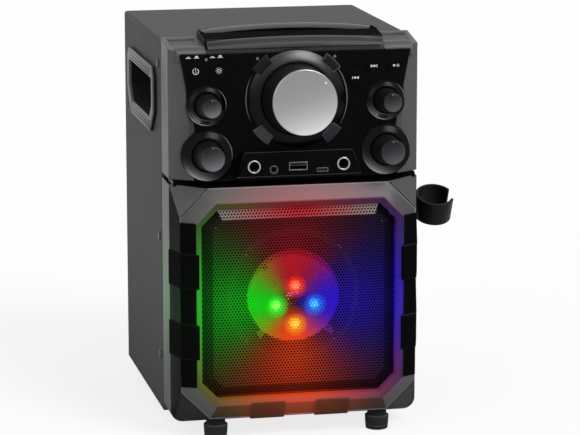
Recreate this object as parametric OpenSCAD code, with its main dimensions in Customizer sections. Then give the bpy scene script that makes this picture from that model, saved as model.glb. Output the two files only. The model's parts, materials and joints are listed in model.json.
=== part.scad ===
/* [Cabinet] */
// Width of the wooden cabinet
cab_w = 196; // [186:1:240]
// Depth of the wooden cabinet, from its front edge to its rear edge
cab_d = 182; // [150:1:240]
// Height of the wooden cabinet
cab_h = 296; // [292:1:330]
// Thickness of the cabinet boards
board_t = 9; // [6:0.5:12]
// Thickness of the rear panel
rear_t = 6; // [4:0.5:9]
// How far the rear panel sits inside the rear edge
rear_recess = 3; // [1:0.5:8]
// Section of the battens behind the rear panel
batten = 12; // [9:0.5:18]
// Height of the battery pack on the floor
battery_h = 22; // [16:1:40]

/* [Feet] */
// Height of the feet under the cabinet
foot_h = 11; // [6:0.5:16]
// Radius of the feet
foot_r = 9.5; // [7:0.5:12]
// Distance of the feet from the middle plane
foot_x = 64.5; // [45:0.5:75]
// Distance of the front feet ahead of the cabinet front edge
foot_reach = 43; // [38:0.5:45]
// Distance of the rear feet from the cabinet rear edge
foot_inset = 23; // [18:0.5:40]

/* [Lower bezel] */
// Height of the upper bezel, from the seam to the cabinet top
panel_h = 104; // [101:0.5:112]
// Height of the seam between the lower and upper bezels
seam = 3.5; // [2:0.25:5]
// Depth of the straight side wall of both bezels
rim_depth = 32.4; // [26:0.2:36]
// Distance of the frame's outer edge ahead of the cabinet
frame_depth = 50.8; // [49:0.2:54]
// Distance of the frame's ridge ahead of the cabinet
ridge_depth = 57.5; // [55.5:0.5:62]
// Distance of the bevel's inner edge ahead of the cabinet
lip_depth = 54; // [52.5:0.5:55]
// Distance of the grille seat ahead of the cabinet
seat_depth = 47; // [45:0.5:48]
// Gap between the frame's outer edge and the side faces
side_gap = 5; // [3:0.5:8]
// Gap between the frame's outer edge and the top face
top_gap = 0.8; // [0.5:0.1:3]
// Gap between the frame's outer edge and the bottom face
bottom_gap = 5.6; // [3:0.1:8]
// Corner cut of the frame's outer edge
frame_cut = 22.6; // [18:0.2:30]
// Width of the outward slope of the frame
slope_w = 11.5; // [9:0.5:13]
// Width of the inward bevel of the frame
bevel_w = 4.9; // [3.5:0.1:7]
// Rounding of the bottom corners
corner_r = 9.5; // [4:0.5:14]
// Wall of the moulded bezels
wall = 3; // [2:0.25:4]

/* [Grips] */
// Lowest point of the side grip strips
grip_z0 = 33; // [30:0.5:40]
// Distance of the grip strips' upper ends below the seam
grip_end = 26.5; // [24:0.5:38]
// Height of each raised grip block
block_h = 27; // [18:0.5:34]
// How far the grip strips stand off the slope
grip_t = 1.2; // [0.8:0.1:2]
// How far the raised blocks stand off the slope
block_t = 3; // [2:0.1:4.5]

/* [Grille] */
// Width of the grille's sloping band
band_w = 9; // [6:0.5:12]
// How far the grille field stands ahead of its seat
grille_rise = 5; // [3:0.5:6]
// Thickness of the grille sheet
grille_t = 0.8; // [0.6:0.1:1.5]
// Width of the grille flange behind the frame
flange_w = 4; // [3:0.5:6]

/* [Woofer] */
// Distance of the speaker plate's front ahead of the cabinet
plate_depth = 27; // [24:0.5:28]
// Thickness of the speaker plate
splate_t = 5; // [4:0.5:7]
// Outer radius of the woofer flange
woofer_r = 52.5; // [50:0.5:58]
// Radius of the cone's outer edge
cone_r = 36.5; // [33:0.5:37.5]
// Depth of the cone from its edge to the coil
cone_d = 13.6; // [11:0.2:15]
// Radius of the coil former
coil_r = 13; // [11:0.5:14]
// Travel of the cone to each side of rest
cone_travel = 2.5; // [1:0.5:3]
// Radius of the magnet
magnet_r = 30; // [26:0.5:34]
// Radius of the ring of four lights
light_r = 15.2; // [13:0.2:17]
// How far the ring of lights sits below the woofer axis
light_drop = 6.3; // [4:0.1:8]
// Radius of one light
lamp_r = 4; // [3:0.1:4.5]

/* [Control panel] */
// Distance of the panel foot ahead of the cabinet front edge
panel_reach = 45.7; // [44:0.1:48]
// Backward lean of the panel in degrees
lean = 3; // [1:0.5:5]
// Thickness of the butterfly faceplate
face_t = 8.5; // [7.5:0.5:10]
// Front skin of the faceplate
face_skin = 2.5; // [2:0.25:3.5]
// Half width of the faceplate at its top
face_top_hw = 90; // [86:0.5:92]
// Half width of the faceplate at the waist
waist_hw = 78.5; // [74:0.5:80]
// Height of the waist above the panel foot
waist_s = 41.5; // [38:0.5:44]
// Height of the jack plateau above the panel foot
jack_s0 = 2.2; // [1:0.2:3]
// Top of the jack plateau above the panel foot
jack_s1 = 22.2; // [20:0.2:24]
// How far the jack plateau stands off the panel
jack_rise = 6; // [4:0.5:8]

/* [Knobs] */
// Height of the master knob above the panel foot
master_s = 61.2; // [59:0.2:63]
// Radius of the silver master cap
master_r = 25.1; // [22:0.1:26]
// Height of the master knob off the panel
master_h = 31; // [24:0.5:36]
// Outer radius of the ring round the master knob
ring_r = 37.5; // [35:0.5:38]
// Distance of the small knobs from the middle plane
knob_x = 70; // [68:0.5:72]
// Height of the echo and balance knobs above the panel foot
tone_s = 58; // [57:0.2:60]
// Height of the microphone knobs above the panel foot
mic_s = 19.8; // [19:0.2:22]
// Radius of the echo and balance caps
tone_r = 7.15; // [6:0.1:8]
// Radius of the microphone knob caps
micknob_r = 9.35; // [8:0.1:10]
// Height of the small knobs off the panel
knob_h = 24; // [18:0.5:28]
// Radius of the rounded lobe round the echo and balance knobs
tone_lobe = 15.7; // [15:0.1:16.5]
// Radius of the rounded lobe round the microphone knobs
mic_lobe = 19.8; // [19:0.1:20]
// Radius of every knob shaft
shaft_r = 3; // [2.5:0.1:3.2]

/* [Buttons] */
// Radius of the power and play buttons
big_button_r = 6.7; // [6:0.1:7.2]
// Radius of the other four buttons
button_r = 5.95; // [5.4:0.05:6.2]
// How far a button stands off the panel
button_rise = 1.6; // [1:0.1:2.2]
// Travel of the four momentary buttons
tap_travel = 1; // [0.6:0.1:1.4]
// Travel of the two latching buttons
latch_travel = 1.4; // [1:0.1:1.8]

/* [Sockets] */
// Bore radius of the two microphone sockets
mic_bore_r = 3.2; // [3.18:0.01:3.3]
// Depth of the microphone sockets
mic_bore_l = 16; // [14:0.5:20]
// Bore radius of the line socket
aux_bore_r = 1.8; // [1.76:0.01:1.9]
// Depth of the line socket
aux_bore_l = 14; // [10:0.5:15]
// Distance of the microphone sockets from the middle plane
mic_x = 35; // [32:0.5:38]

/* [Tablet rest] */
// Half length of the tablet rest
rest_hl = 70; // [64:0.5:74]
// Height of the rest above the cabinet top, at its middle
rest_rise = 10.7; // [9:0.1:12]
// How much lower the ends of the rest are than its middle
rest_sag = 4.4; // [2:0.1:6]
// Width of the tablet slot
slot_w = 11; // [6:0.5:14]
// Depth of the tablet slot
slot_d = 10; // [6:0.5:12]
// Thickness of the lip behind the slot
lip_t = 3; // [2.5:0.25:4]

/* [Handle cups] */
// Length of the hand opening
cup_l = 108; // [100:1:116]
// Height of the hand opening
cup_h = 32; // [28:0.5:36]
// Corner cut at the bottom of the hand opening
cup_cut = 12; // [6:0.5:14]
// Width of the cup's flange
cup_flange = 10.5; // [8:0.5:12]
// How far the flange stands off the side
cup_proud = 3.5; // [2:0.25:4.5]
// Depth of the cup inside the cabinet
cup_depth = 34; // [26:0.5:40]
// Wall of the cup
cup_wall = 2.5; // [2:0.25:3]
// Distance of the cup's middle behind the cabinet front edge
cup_y = 82; // [80:1:100]
// Distance of the cup's middle below the cabinet top
cup_drop = 51; // [46:0.5:60]

/* [Microphone holder] */
// Bore radius of the holder's cup
holder_r = 13.3; // [12.5:0.1:14.5]
// Wall of the holder's cup
holder_wall = 2.1; // [1.6:0.1:2.5]
// Length of the holder's cup
holder_l = 20; // [16:0.5:24]
// Forward tilt of the cup in degrees
holder_tilt = 23; // [0:1:30]
// Height of the cup's middle above its lower screw
holder_rise = 15.5; // [10:0.5:20]
// Gap between the cup and the mounting flange
holder_gap = 6.5; // [5:0.5:10]
// Thickness of the holder's mounting flange
holder_flange_t = 3; // [2.5:0.25:4]
// Opening of the cup in degrees
holder_open = 52; // [40:1:70]

/* [Hidden] */
$fn = 64;

// Cutting tools run this far past the faces that they open
past = 1;
// Thin slabs that a blend runs between
slab_t = 0.2;
// Side length lost by a right-angled corner cut for each millimetre of inset
cut_rate = 2 - sqrt(2);

// The origin is on the floor, midway between the four feet
feet_span = cab_d - foot_inset + foot_reach;
front_y = foot_reach - feet_span / 2;

// Heights of the two bezels
low_h = cab_h - seam - panel_h;
up_z = low_h + seam;
grip_z1 = low_h - grip_end;
cup_z = cab_h - cup_drop;

// Screws
screw_r = 1.75;
head_r = 3.4;
head_t = 1.6;
side_screw_y = 10;
side_screw_low = 44;
side_screw_mid = 48.5;
side_screw_top = 20;
side_screw_z = [side_screw_low, low_h - side_screw_mid, cab_h - side_screw_top];
holder_z = side_screw_z[1] + holder_rise;
holder_pitch = 22;
thread_l = 8;
lug_l = 20;
lug_t = 8;
lug_h = 16;
foot_screw_l = 12;
foot_web = 4;

// Lower bezel, measured from the cabinet's front edge and underside
frame_z0 = bottom_gap;
frame_z1 = low_h - top_gap;
woofer_z = (frame_z0 + frame_z1) / 2;
open_in = slope_w + bevel_w;
ledge = 0.8;
groove_depth = panel_reach - face_t - 0.7;
groove_in = 2.5;
boss_r = 5;
boss_in = 14;
foot_boss_r = foot_r - 2;
foot_boss_h = foot_r + 1;

// Upper bezel
up_top = cab_h + 1.7;
up_front_top = cab_h - 4.5;
recess_in = 3;
wing_x = 18;
ledge_w = 4;
face_top_gap = 2.5;
face_top_s = up_front_top - up_z - face_top_gap;

// Woofer, measured forward from the front of the speaker plate
flange_t = 2.5;
roll_r = (woofer_r - 7 - cone_r) / 2;
cone_t = 0.8;
former_t = 0.5;
coil_gap = 0.4;
basket_d = cone_d + 7;
magnet_d = 15;
woofer_screw_r = woofer_r - 3.2;

// Lights, measured forward from the front of the speaker plate
carrier_t = 1.5;
carrier_f = 5;
arm_f = flange_t + roll_r + cone_travel + 1;
arm_w = 5;
lamp_base = 1.5;

// Panel parts, measured off the front of the panel
knob_gap = 0.6;
ring_h = 3.2;
fit = 0.05;
pot_top = -face_skin;
pot_d = 9;
pot_r = 8;
bush_r = shaft_r + 1.6;
board_s = -face_skin - pot_d;
pcb_t = 1.6;
button_gap = 0.3;
button_flange = 1;
button_flange_t = 1.2;
switch_gap = 0.35;
stem_r = 2;
socket_wall = 1.4;
socket_s = (jack_s0 + jack_s1) / 2 - 1.6;
aux_x = -19.7;
aux_s = socket_s - 2.7;
usb_w = 14.5;
usb_h = 6.5;
usb_x = -0.5;
usb_s = socket_s - 0.6;
usb_l = 14;
charge_w = 9;
charge_h = 3.2;
charge_x = 18.4;
charge_s = usb_s - 3.4;
charge_l = 6;

// Name of the button, its place on the panel, and whether it is large or latches
button_x = [-78.3, -60.3, -46.4, 46.4, 60.3, 78.3];
button_drop = [12.5, 12.4, 21, 21, 12.4, 12.5];
button_s = [for (drop = button_drop) face_top_s - drop];

// Indicator lights on the panel
lamp_x = [-69.8, -30.2, 30.2];
dot_drop = [3.9, 4.3, 4.3];
lamp_s = [for (drop = dot_drop) face_top_s - drop];
lamp_dot_r = 1.2;

// Small knobs: echo, balance, first and second microphone
small_x = [-knob_x, knob_x, -knob_x, knob_x];
small_s = [tone_s, tone_s, mic_s, mic_s];
small_r = [tone_r, tone_r, micknob_r, micknob_r];
small_lobe = [tone_lobe, tone_lobe, mic_lobe, mic_lobe];
skirt = 2.2;
cap_t = 2.6;
shaft_s0 = board_s + 1.9;
switch_h = 4;
button_size = [big_button_r, button_r, button_r, button_r, button_r, big_button_r];
face_side = 1.2;
ring_out = 0.8;
holder_y = side_screw_y - 2;
rest_floor = 3;
rest_strip = cab_h + 6;
rest_bottom = rest_strip - slot_d - rest_floor;
board_in = 6;
trim_l = 40;
slit = 0.01;
block_in = 12;
switch_w = 6;
spider_w = 13;
rib_t = 1.2;
rib_out = 0.8;
rib_in = 6;
battery_hw = 38;
battery_d = 36;
battery_gap = 26;

// Places children from the cabinet's front edge and underside
module from_front() {
    translate([0, front_y, foot_h]) children();
}

// Places children on the panel: x across, s up the panel, and height off it
module on_panel(x, s) {
    from_front()
        translate([0, -panel_reach, up_z])
            rotate([90 - lean, 0, 0])
                translate([x, s, 0]) children();
}

// A box from its corners
module box(x0, x1, y0, y1, z0, z1) {
    translate([x0, y0, z0]) cube([x1 - x0, y1 - y0, z1 - z0]);
}

// A flat shape in the front view, from depth y0 ahead of the cabinet to depth y1
module front_slab(y0, y1) {
    translate([0, -y0, 0]) rotate([90, 0, 0]) linear_extrude(y1 - y0) children();
}

// A flat shape in the side view, from x0 to x1
module side_slab(x0, x1) {
    translate([x0, 0, 0]) rotate([90, 0, 90]) linear_extrude(x1 - x0) children();
}

// A round bar along X
module bar_x(r, x0, x1) {
    translate([x0, 0, 0]) rotate([0, 90, 0]) cylinder(h = x1 - x0, r = r);
}

// Turned shape round the woofer axis, measured forward from the speaker plate
module on_woofer() {
    from_front() translate([0, -plate_depth, woofer_z]) rotate([90, 0, 0]) children();
}

// Corner points of the frame's octagon, moved inward by d
function frame_pts(d) =
    let (
        hw = cab_w / 2 - side_gap - d,
        z0 = frame_z0 + d,
        z1 = frame_z1 - d,
        c = frame_cut - d * cut_rate
    )
    [[hw - c, z1], [hw, z1 - c], [hw, z0 + c], [hw - c, z0],
     [c - hw, z0], [-hw, z0 + c], [-hw, z1 - c], [c - hw, z1]];

// Front outline of the bezels' rim with its two rounded bottom corners
module rim_outline(inset, z0, z1, r) {
    hw = cab_w / 2 - inset;
    translate([-hw, z0 + r]) square([2 * hw, z1 - z0 - r]);
    translate([r - hw, z0]) square([2 * (hw - r), r + past]);
    for (side = [-1, 1]) translate([side * (hw - r), z0 + r]) circle(r);
}

// Outline of the hand opening in the side view, grown by g
function cup_pts(g) =
    let (
        l = cup_l / 2 + g,
        h = cup_h / 2 + g,
        b = cup_cut + g * cut_rate,
        t = 1 + g * cut_rate
    )
    [[cup_y - l + b, cup_z - h], [cup_y + l - b, cup_z - h], [cup_y + l, cup_z - h + b], [cup_y + l, cup_z + h - t],
     [cup_y + l - t, cup_z + h], [cup_y - l + t, cup_z + h], [cup_y - l, cup_z + h - t], [cup_y - l, cup_z - h + b]];

// The feet of the front row, the rear row, or both
module at_feet(rows = [-1, 1]) {
    for (x = [-foot_x, foot_x])
        for (row = rows)
            translate([x, row * feet_span / 2, 0]) children();
}

// The rear panel screws, three down each side
module at_rear_screws() {
    hx = cab_w / 2 - board_t - batten / 2;
    for (x = [-hx, hx])
        for (z = [board_t + batten, cab_h / 2, cab_h - board_t - batten])
            from_front() translate([x, cab_d - rear_recess, z]) rotate([90, 0, 0]) children();
}

// A countersunk screw drawn down -Z from the surface it holds, its head flush
module sunk_screw(length) {
    translate([0, 0, -length]) cylinder(h = length, r = screw_r);
    translate([0, 0, -head_t]) cylinder(h = head_t, r = head_r);
}

// A pan head screw: the head stands on the surface and the shank runs down -Z
module pan_screw(length) {
    translate([0, 0, -length]) cylinder(h = length, r = screw_r);
    cylinder(h = head_t, r = head_r);
}

// Wooden case, open at the front and rear, with battens for the rear panel
module cabinet() {
    hw = cab_w / 2;
    bat_y = cab_d - rear_recess - rear_t;
    color("#3b3b3d") difference() {
        union() {
            from_front() difference() {
                box(-hw, hw, 0, cab_d, 0, cab_h);
                box(board_t - hw, hw - board_t, -past, cab_d + past, board_t, cab_h - board_t);
            }
            for (side = [0, 1])
                mirror([side, 0, 0]) from_front()
                    box(hw - board_t - batten, hw - board_t, bat_y - batten, bat_y, board_t, cab_h - board_t);
        }
        for (side = [0, 1])
            mirror([side, 0, 0]) from_front() {
                side_slab(hw - board_t - past, hw + past) polygon(cup_pts(cup_wall));
                for (z = side_screw_z)
                    translate([0, side_screw_y, z]) bar_x(screw_r, hw - board_t - past, hw + past);
            }
        at_holder_screws() translate([0, 0, -board_t - holder_flange_t - past])
            cylinder(h = board_t + holder_flange_t + 2 * past, r = screw_r);
        at_rear_screws() cylinder(h = rear_t + batten - 1, r = screw_r);
        at_feet([1]) translate([0, 0, foot_h - past]) cylinder(h = foot_screw_l, r = screw_r);
    }
}

// Rear panel between the boards
module rear_panel() {
    hw = cab_w / 2 - board_t;
    color("#2a2a2c") difference() {
        from_front()
            box(-hw, hw, cab_d - rear_recess - rear_t, cab_d - rear_recess, board_t, cab_h - board_t);
        at_rear_screws() {
            translate([0, 0, -past]) cylinder(h = rear_t + 2 * past, r = screw_r);
            translate([0, 0, -past]) cylinder(h = head_t + past, r = head_r);
        }
    }
}

// Six sunk screws that hold the rear panel to the battens
module rear_screws() {
    color("#707070") at_rear_screws() mirror([0, 0, 1]) sunk_screw(rear_t + batten - 2);
}

// Moulded hand cup, sunk in the side board, drawn on the right
module handle_cup() {
    hw = cab_w / 2;
    rib_h = cup_h / 2 + cup_flange;
    color("#161617") from_front() {
        difference() {
            union() {
                side_slab(hw, hw + cup_proud) polygon(cup_pts(cup_flange));
                side_slab(hw - cup_depth, hw + past) polygon(cup_pts(cup_wall));
            }
            side_slab(hw - cup_depth + cup_wall, hw + cup_proud + past) polygon(cup_pts(0));
        }
        for (side = [-1, 1])
            for (i = [1:3])
                translate([hw + cup_proud - rib_out, cup_y - cup_l / 2 + rib_in, cup_z - rib_t / 2])
                    translate([0, 0, side * (rib_h - i * cup_flange / 4)])
                        cube([2 * rib_out, cup_l - 2 * rib_in, rib_t]);
    }
}

module handle_cup_left() {
    mirror([1, 0, 0]) handle_cup();
}

module handle_cup_right() {
    handle_cup();
}

// Four round feet with a drilled core
module feet() {
    color("#101011") at_feet() difference() {
        cylinder(h = foot_h, r1 = foot_r - 0.8, r2 = foot_r);
        translate([0, 0, -past]) cylinder(h = foot_h + 2 * past, r = screw_r);
        translate([0, 0, -past]) cylinder(h = foot_h - foot_web + past, r = head_r + 1);
    }
}

// One screw up through each foot
module foot_screws() {
    color("#808080") at_feet() translate([0, 0, foot_h - foot_web]) mirror([0, 0, 1])
        pan_screw(foot_web + foot_screw_l - past - 0.5);
}

// Pan head screws through the side boards into the bezels' lugs
module side_screws() {
    hw = cab_w / 2;
    color("#9a9a9a") for (side = [0, 1])
        for (i = [0:2])
            if (side == 1 || i != 1)
                mirror([side, 0, 0]) from_front()
                    translate([hw, side_screw_y, side_screw_z[i]]) rotate([0, 90, 0])
                        pan_screw(board_t + lug_t - 1);
}

// Lugs behind a bezel that reach inside the cabinet's side boards
module bezel_lugs(levels) {
    x1 = cab_w / 2 - board_t;
    for (side = [0, 1])
        mirror([side, 0, 0])
            for (z = levels)
                difference() {
                    union() {
                        box(x1 - lug_t, x1, -rim_depth / 2, lug_l, z - lug_h / 2, z + lug_h / 2);
                        box(x1 - lug_t, cab_w / 2 - wall / 2, -rim_depth / 2, 0, z - lug_h / 2, z + lug_h / 2);
                    }
                    translate([0, side_screw_y, z]) bar_x(screw_r, x1 - lug_t - past, x1 + past);
                }
}

// Where the speaker plate screws enter the bezel
module at_plate_bosses() {
    hw = cab_w / 2 - boss_in;
    for (x = [-hw, hw])
        for (z = [boss_in, low_h - boss_in])
            translate([x, -plate_depth, z]) rotate([90, 0, 0]) children();
}

// Solid outside of the lower bezel: rim, chamfers, and the octagonal frame
module low_outside() {
    front_slab(0, rim_depth) rim_outline(0, 0, low_h, corner_r);
    hull() {
        front_slab(rim_depth - slab_t, rim_depth) rim_outline(0, 0, low_h, corner_r, $fn = 32);
        front_slab(frame_depth - slab_t, frame_depth) polygon(frame_pts(0));
    }
    hull() {
        front_slab(frame_depth - slab_t, frame_depth) polygon(frame_pts(ledge));
        front_slab(ridge_depth - slab_t, ridge_depth) polygon(frame_pts(slope_w));
    }
}

// Lower bezel with its octagonal speaker opening
module lower_bezel() {
    hw = cab_w / 2;
    over = 0.7;
    bevel_rate = bevel_w / (ridge_depth - lip_depth);
    color("#5c5c62") difference() {
        union() {
            from_front() {
                difference() {
                    low_outside();
                    hull() {
                        front_slab(-past, rim_depth - 3) rim_outline(wall, wall, low_h - wall, corner_r - wall, $fn = 32);
                        front_slab(seat_depth - slab_t, seat_depth) polygon(frame_pts(slope_w + bevel_w - flange_w - 2));
                    }
                    hull() {
                        front_slab(ridge_depth + over - slab_t, ridge_depth + over)
                            polygon(frame_pts(slope_w - over * bevel_rate));
                        front_slab(lip_depth - slab_t, lip_depth) polygon(frame_pts(open_in));
                    }
                    front_slab(seat_depth - past, lip_depth) polygon(frame_pts(open_in));
                }
                box(groove_in - hw, hw - groove_in, -groove_depth, -rim_depth / 2, low_h - 1, up_z);
                bezel_lugs([side_screw_z[0], side_screw_z[1]]);
                intersection() {
                    at_plate_bosses() cylinder(h = seat_depth - plate_depth + 1, r = boss_r);
                    low_outside();
                }
            }
            at_feet([-1]) translate([0, 0, foot_h]) cylinder(h = foot_boss_h, r = foot_boss_r);
        }
        from_front() at_plate_bosses() translate([0, 0, -past]) cylinder(h = 10 + past, r = screw_r);
        at_feet([-1]) translate([0, 0, foot_h - past]) cylinder(h = foot_screw_l, r = screw_r);
    }
}

// Cross section of a side grip at height z, proud of the slope by t
module grip_section(t, reach) {
    x_out = cab_w / 2 - side_gap;
    x_ridge = x_out - slope_w;
    polygon([
        [x_ridge - reach, -ridge_depth], [x_ridge - reach, -ridge_depth - t], [x_ridge, -ridge_depth - t],
        [x_out, -frame_depth - t], [cab_w / 2 + t / 3, -rim_depth], [cab_w / 2, -rim_depth],
        [x_out, -frame_depth], [x_out - ledge, -frame_depth], [x_ridge, -ridge_depth]
    ]);
}

// Rubber strip with two raised blocks on the right side of the frame
module grip_strip() {
    mid = woofer_z;
    step = block_h * 2.05;
    color("#0c0c0d") from_front() {
        translate([0, 0, grip_z0]) linear_extrude(grip_z1 - grip_z0) difference() {
            grip_section(grip_t, 0);
            translate([cab_w / 2 - side_gap + slit, -rim_depth - trim_l / 2]) square([side_gap * 3, trim_l]);
        }
        for (z = [mid - step / 2, mid + step / 2])
            translate([0, 0, z - block_h / 2]) linear_extrude(block_h) grip_section(block_t, 2);
    }
}

module grip_strip_left() {
    mirror([1, 0, 0]) grip_strip();
}

module grip_strip_right() {
    grip_strip();
}

// Two raised blocks on the bottom slope of the frame
module grip_blocks_bottom() {
    z_out = frame_z0;
    z_ridge = frame_z0 + slope_w;
    color("#4a4038") from_front()
        for (side = [0, 1])
            mirror([side, 0, 0])
                side_slab(block_in, block_in + block_h)
                    polygon([
                        [-ridge_depth, z_ridge + 2], [-ridge_depth - grip_t, z_ridge + 2],
                        [-ridge_depth - grip_t, z_ridge], [-frame_depth - grip_t, z_out - grip_t],
                        [-frame_depth, z_out - grip_t], [-frame_depth, z_out + ledge], [-ridge_depth, z_ridge]
                    ]);
}

// Perforated sheet pressed into a shallow tray, drawn plain
module grille() {
    open = open_in + 0.3;
    tray = seat_depth + grille_rise;
    color("#232325") from_front() difference() {
        union() {
            front_slab(seat_depth - grille_t, seat_depth) polygon(frame_pts(open_in - flange_w));
            hull() {
                front_slab(seat_depth - grille_t, seat_depth) polygon(frame_pts(open));
                front_slab(tray - slab_t, tray) polygon(frame_pts(open + band_w));
            }
        }
        hull() {
            front_slab(seat_depth - grille_t - slab_t, seat_depth - grille_t) polygon(frame_pts(open + grille_t));
            front_slab(tray - grille_t - slab_t, tray - grille_t) polygon(frame_pts(open + band_w + grille_t / 2));
        }
    }
}

// Moulded plate that carries the woofer
module speaker_plate() {
    color("#1b1b1c") from_front() difference() {
        front_slab(plate_depth - splate_t, plate_depth)
            rim_outline(wall + 0.5, wall + 0.5, low_h - wall - 0.5, corner_r - wall);
        translate([0, -plate_depth - past, woofer_z]) rotate([-90, 0, 0])
            cylinder(h = splate_t + 2 * past, r = woofer_r - 6);
        at_plate_bosses() translate([0, 0, -splate_t - past]) cylinder(h = splate_t + 2 * past, r = screw_r);
        lug_notches();
        translate([0, -plate_depth, woofer_z]) rotate([90, 0, 0])
            at_woofer_screws() translate([0, 0, -splate_t - past]) cylinder(h = splate_t + 2 * past, r = screw_r);
    }
}

// Room for the bezel's lugs at the edges of the speaker plate
module lug_notches() {
    x1 = cab_w / 2 - board_t;
    for (side = [0, 1])
        mirror([side, 0, 0])
            for (z = [side_screw_z[0], side_screw_z[1]])
                box(x1 - lug_t - 0.5, cab_w / 2, -plate_depth - past, 0, z - lug_h / 2 - 0.5, z + lug_h / 2 + 0.5);
}

// Four screw places round the woofer flange
module at_woofer_screws() {
    for (a = [45:90:315])
        rotate([0, 0, a]) translate([woofer_screw_r, 0, 0]) children();
}

// Woofer screws and the screws of the speaker plate
module speaker_screws() {
    color("#8c8c8c") {
        on_woofer() at_woofer_screws() translate([0, 0, flange_t]) pan_screw(flange_t + thread_l);
        from_front() at_plate_bosses() translate([0, 0, -splate_t]) mirror([0, 0, 1]) pan_screw(splate_t + thread_l);
    }
}

// Pressed basket with a flange, four windows and a rear ring
module woofer_basket() {
    seat_r = woofer_r - 7;
    rear_r = coil_r + spider_w;
    color("#2e2e31") on_woofer() difference() {
        rotate_extrude() polygon([
            [seat_r, 0], [woofer_r, 0], [woofer_r, flange_t], [cone_r + 1, flange_t], [cone_r + 1, flange_t - 1],
            [seat_r - 2, flange_t - 1], [rear_r, -basket_d + 3], [coil_r + 3, -basket_d + 3],
            [coil_r + 3, -basket_d], [rear_r + 2, -basket_d], [seat_r, -2]
        ]);
        at_woofer_screws() translate([0, 0, -past]) cylinder(h = flange_t + 2 * past, r = screw_r);
        for (a = [0:90:270])
            rotate([0, 0, a]) translate([rear_r + 3, -9, -basket_d + 4.5]) cube([seat_r, 18, basket_d - 8]);
    }
}

// Magnet assembly with the ring gap for the coil
module woofer_magnet() {
    color("#3a3a3e") on_woofer() translate([0, 0, -basket_d]) difference() {
        rotate_extrude() polygon([
            [0, -magnet_d], [magnet_r, -magnet_d], [magnet_r, 0],
            [coil_r + coil_gap, 0], [coil_r + coil_gap, -magnet_d + 4],
            [coil_r - former_t - coil_gap, -magnet_d + 4], [coil_r - former_t - coil_gap, 0], [0, 0]
        ]);
        translate([0, 0, -magnet_d - past]) cylinder(h = 2, r = magnet_r / 4);
    }
}

// Half roll of rubber between the cone and the flange
module woofer_surround() {
    mid = cone_r + 0.3 + roll_r;
    rubber = 0.8;
    color("#141415") on_woofer() difference() {
        rotate_extrude() translate([mid, flange_t]) difference() {
            union() {
                intersection() {
                    circle(roll_r);
                    translate([-roll_r, 0]) square([2 * roll_r, roll_r]);
                }
                translate([roll_r - 1, 0]) square([3.5, rubber]);
            }
            circle(roll_r - rubber);
        }
        at_woofer_screws() translate([0, 0, flange_t - past]) cylinder(h = 2 * past + rubber, r = head_r + 0.3);
    }
}

// Moving cone with its coil former
module woofer_cone() {
    edge = flange_t;
    color("#c9c9d2") on_woofer() rotate_extrude() polygon([
        [cone_r, edge + cone_t], [cone_r, edge], [coil_r, edge - cone_d], [coil_r, -basket_d - 6],
        [coil_r - former_t, -basket_d - 6], [coil_r - former_t, edge - cone_d + cone_t]
    ]);
}

// Bright dome over the coil
module dust_cap() {
    cap_h = 5;
    cap_r = coil_r - former_t;
    ball = (cap_r * cap_r + cap_h * cap_h) / (2 * cap_h);
    color("#e4e4e8") on_woofer() translate([0, 0, flange_t - cone_d + cone_t]) difference() {
        intersection() {
            translate([0, 0, cap_h - ball]) sphere(ball, $fn = 96);
            cylinder(h = cap_h + past, r = cap_r);
        }
        translate([0, 0, cap_h - ball]) sphere(ball - 0.6, $fn = 96);
    }
}

// Corrugated spider that centres the coil
module woofer_spider() {
    r0 = coil_r + 0.1;
    r1 = coil_r + spider_w;
    n = 3;
    f = -basket_d + 3;
    w = (r1 - r0) / (2 * n);
    color("#b08a4a") on_woofer() rotate_extrude() for (i = [0:n - 1])
        translate([r0 + 2 * i * w, f]) {
            square([w, 0.6]);
            translate([w - 0.3, 0]) square([0.6, 1.6]);
            translate([w, 1]) square([w, 0.6]);
            translate([2 * w - 0.3, 0]) square([0.3, 1.6]);
        }
}

// Places of the four lights: top, left, right, bottom
module at_light(i) {
    a = [90, 180, 0, 270][i];
    on_woofer() translate([light_r * cos(a), light_r * sin(a) - light_drop, carrier_f]) children();
}

// Ring and three cranked arms that hold the lights in front of the cone
module light_carrier() {
    r_in = light_r - lamp_r - 1.5;
    r_out = light_r + lamp_r + 1.5;
    step_r = cone_r - 8;
    color("#2b2b2e") on_woofer() difference() {
        union() {
            translate([0, -light_drop, carrier_f]) difference() {
                cylinder(h = carrier_t, r = r_out);
                translate([0, 0, -past]) cylinder(h = carrier_t + 2 * past, r = r_in);
            }
            for (a = [45, 135, 225, 315])
                rotate([0, 0, a]) {
                    translate([coil_r, -arm_w / 2, carrier_f]) cube([step_r - coil_r, arm_w, carrier_t]);
                    translate([step_r - carrier_t, -arm_w / 2, carrier_f]) cube([carrier_t, arm_w, arm_f - carrier_f]);
                    translate([step_r - carrier_t, -arm_w / 2, arm_f])
                        cube([woofer_screw_r - step_r + carrier_t, arm_w, carrier_t]);
                    translate([woofer_screw_r, 0, flange_t + head_t])
                        cylinder(h = arm_f + carrier_t - flange_t - head_t, r = arm_w / 2);
                }
        }
        for (a = [0:90:270])
            translate([light_r * cos(a), light_r * sin(a) - light_drop, carrier_f - past])
                cylinder(h = carrier_t + 2 * past, r = lamp_r - 0.5);
    }
}

// One light: a short barrel with a domed front
module lamp(i) {
    at_light(i) {
        cylinder(h = carrier_t, r = lamp_r - 0.5);
        translate([0, 0, carrier_t]) cylinder(h = lamp_base, r = lamp_r);
        translate([0, 0, carrier_t + lamp_base]) intersection() {
            sphere(lamp_r);
            cylinder(h = lamp_r, r = lamp_r);
        }
    }
}

module light_red() {
    color("#ff2a1a") lamp(0);
}

module light_green() {
    color("#27e02a") lamp(1);
}

module light_blue() {
    color("#3a8cff") lamp(2);
}

module light_amber() {
    color("#ffb020") lamp(3);
}

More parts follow.
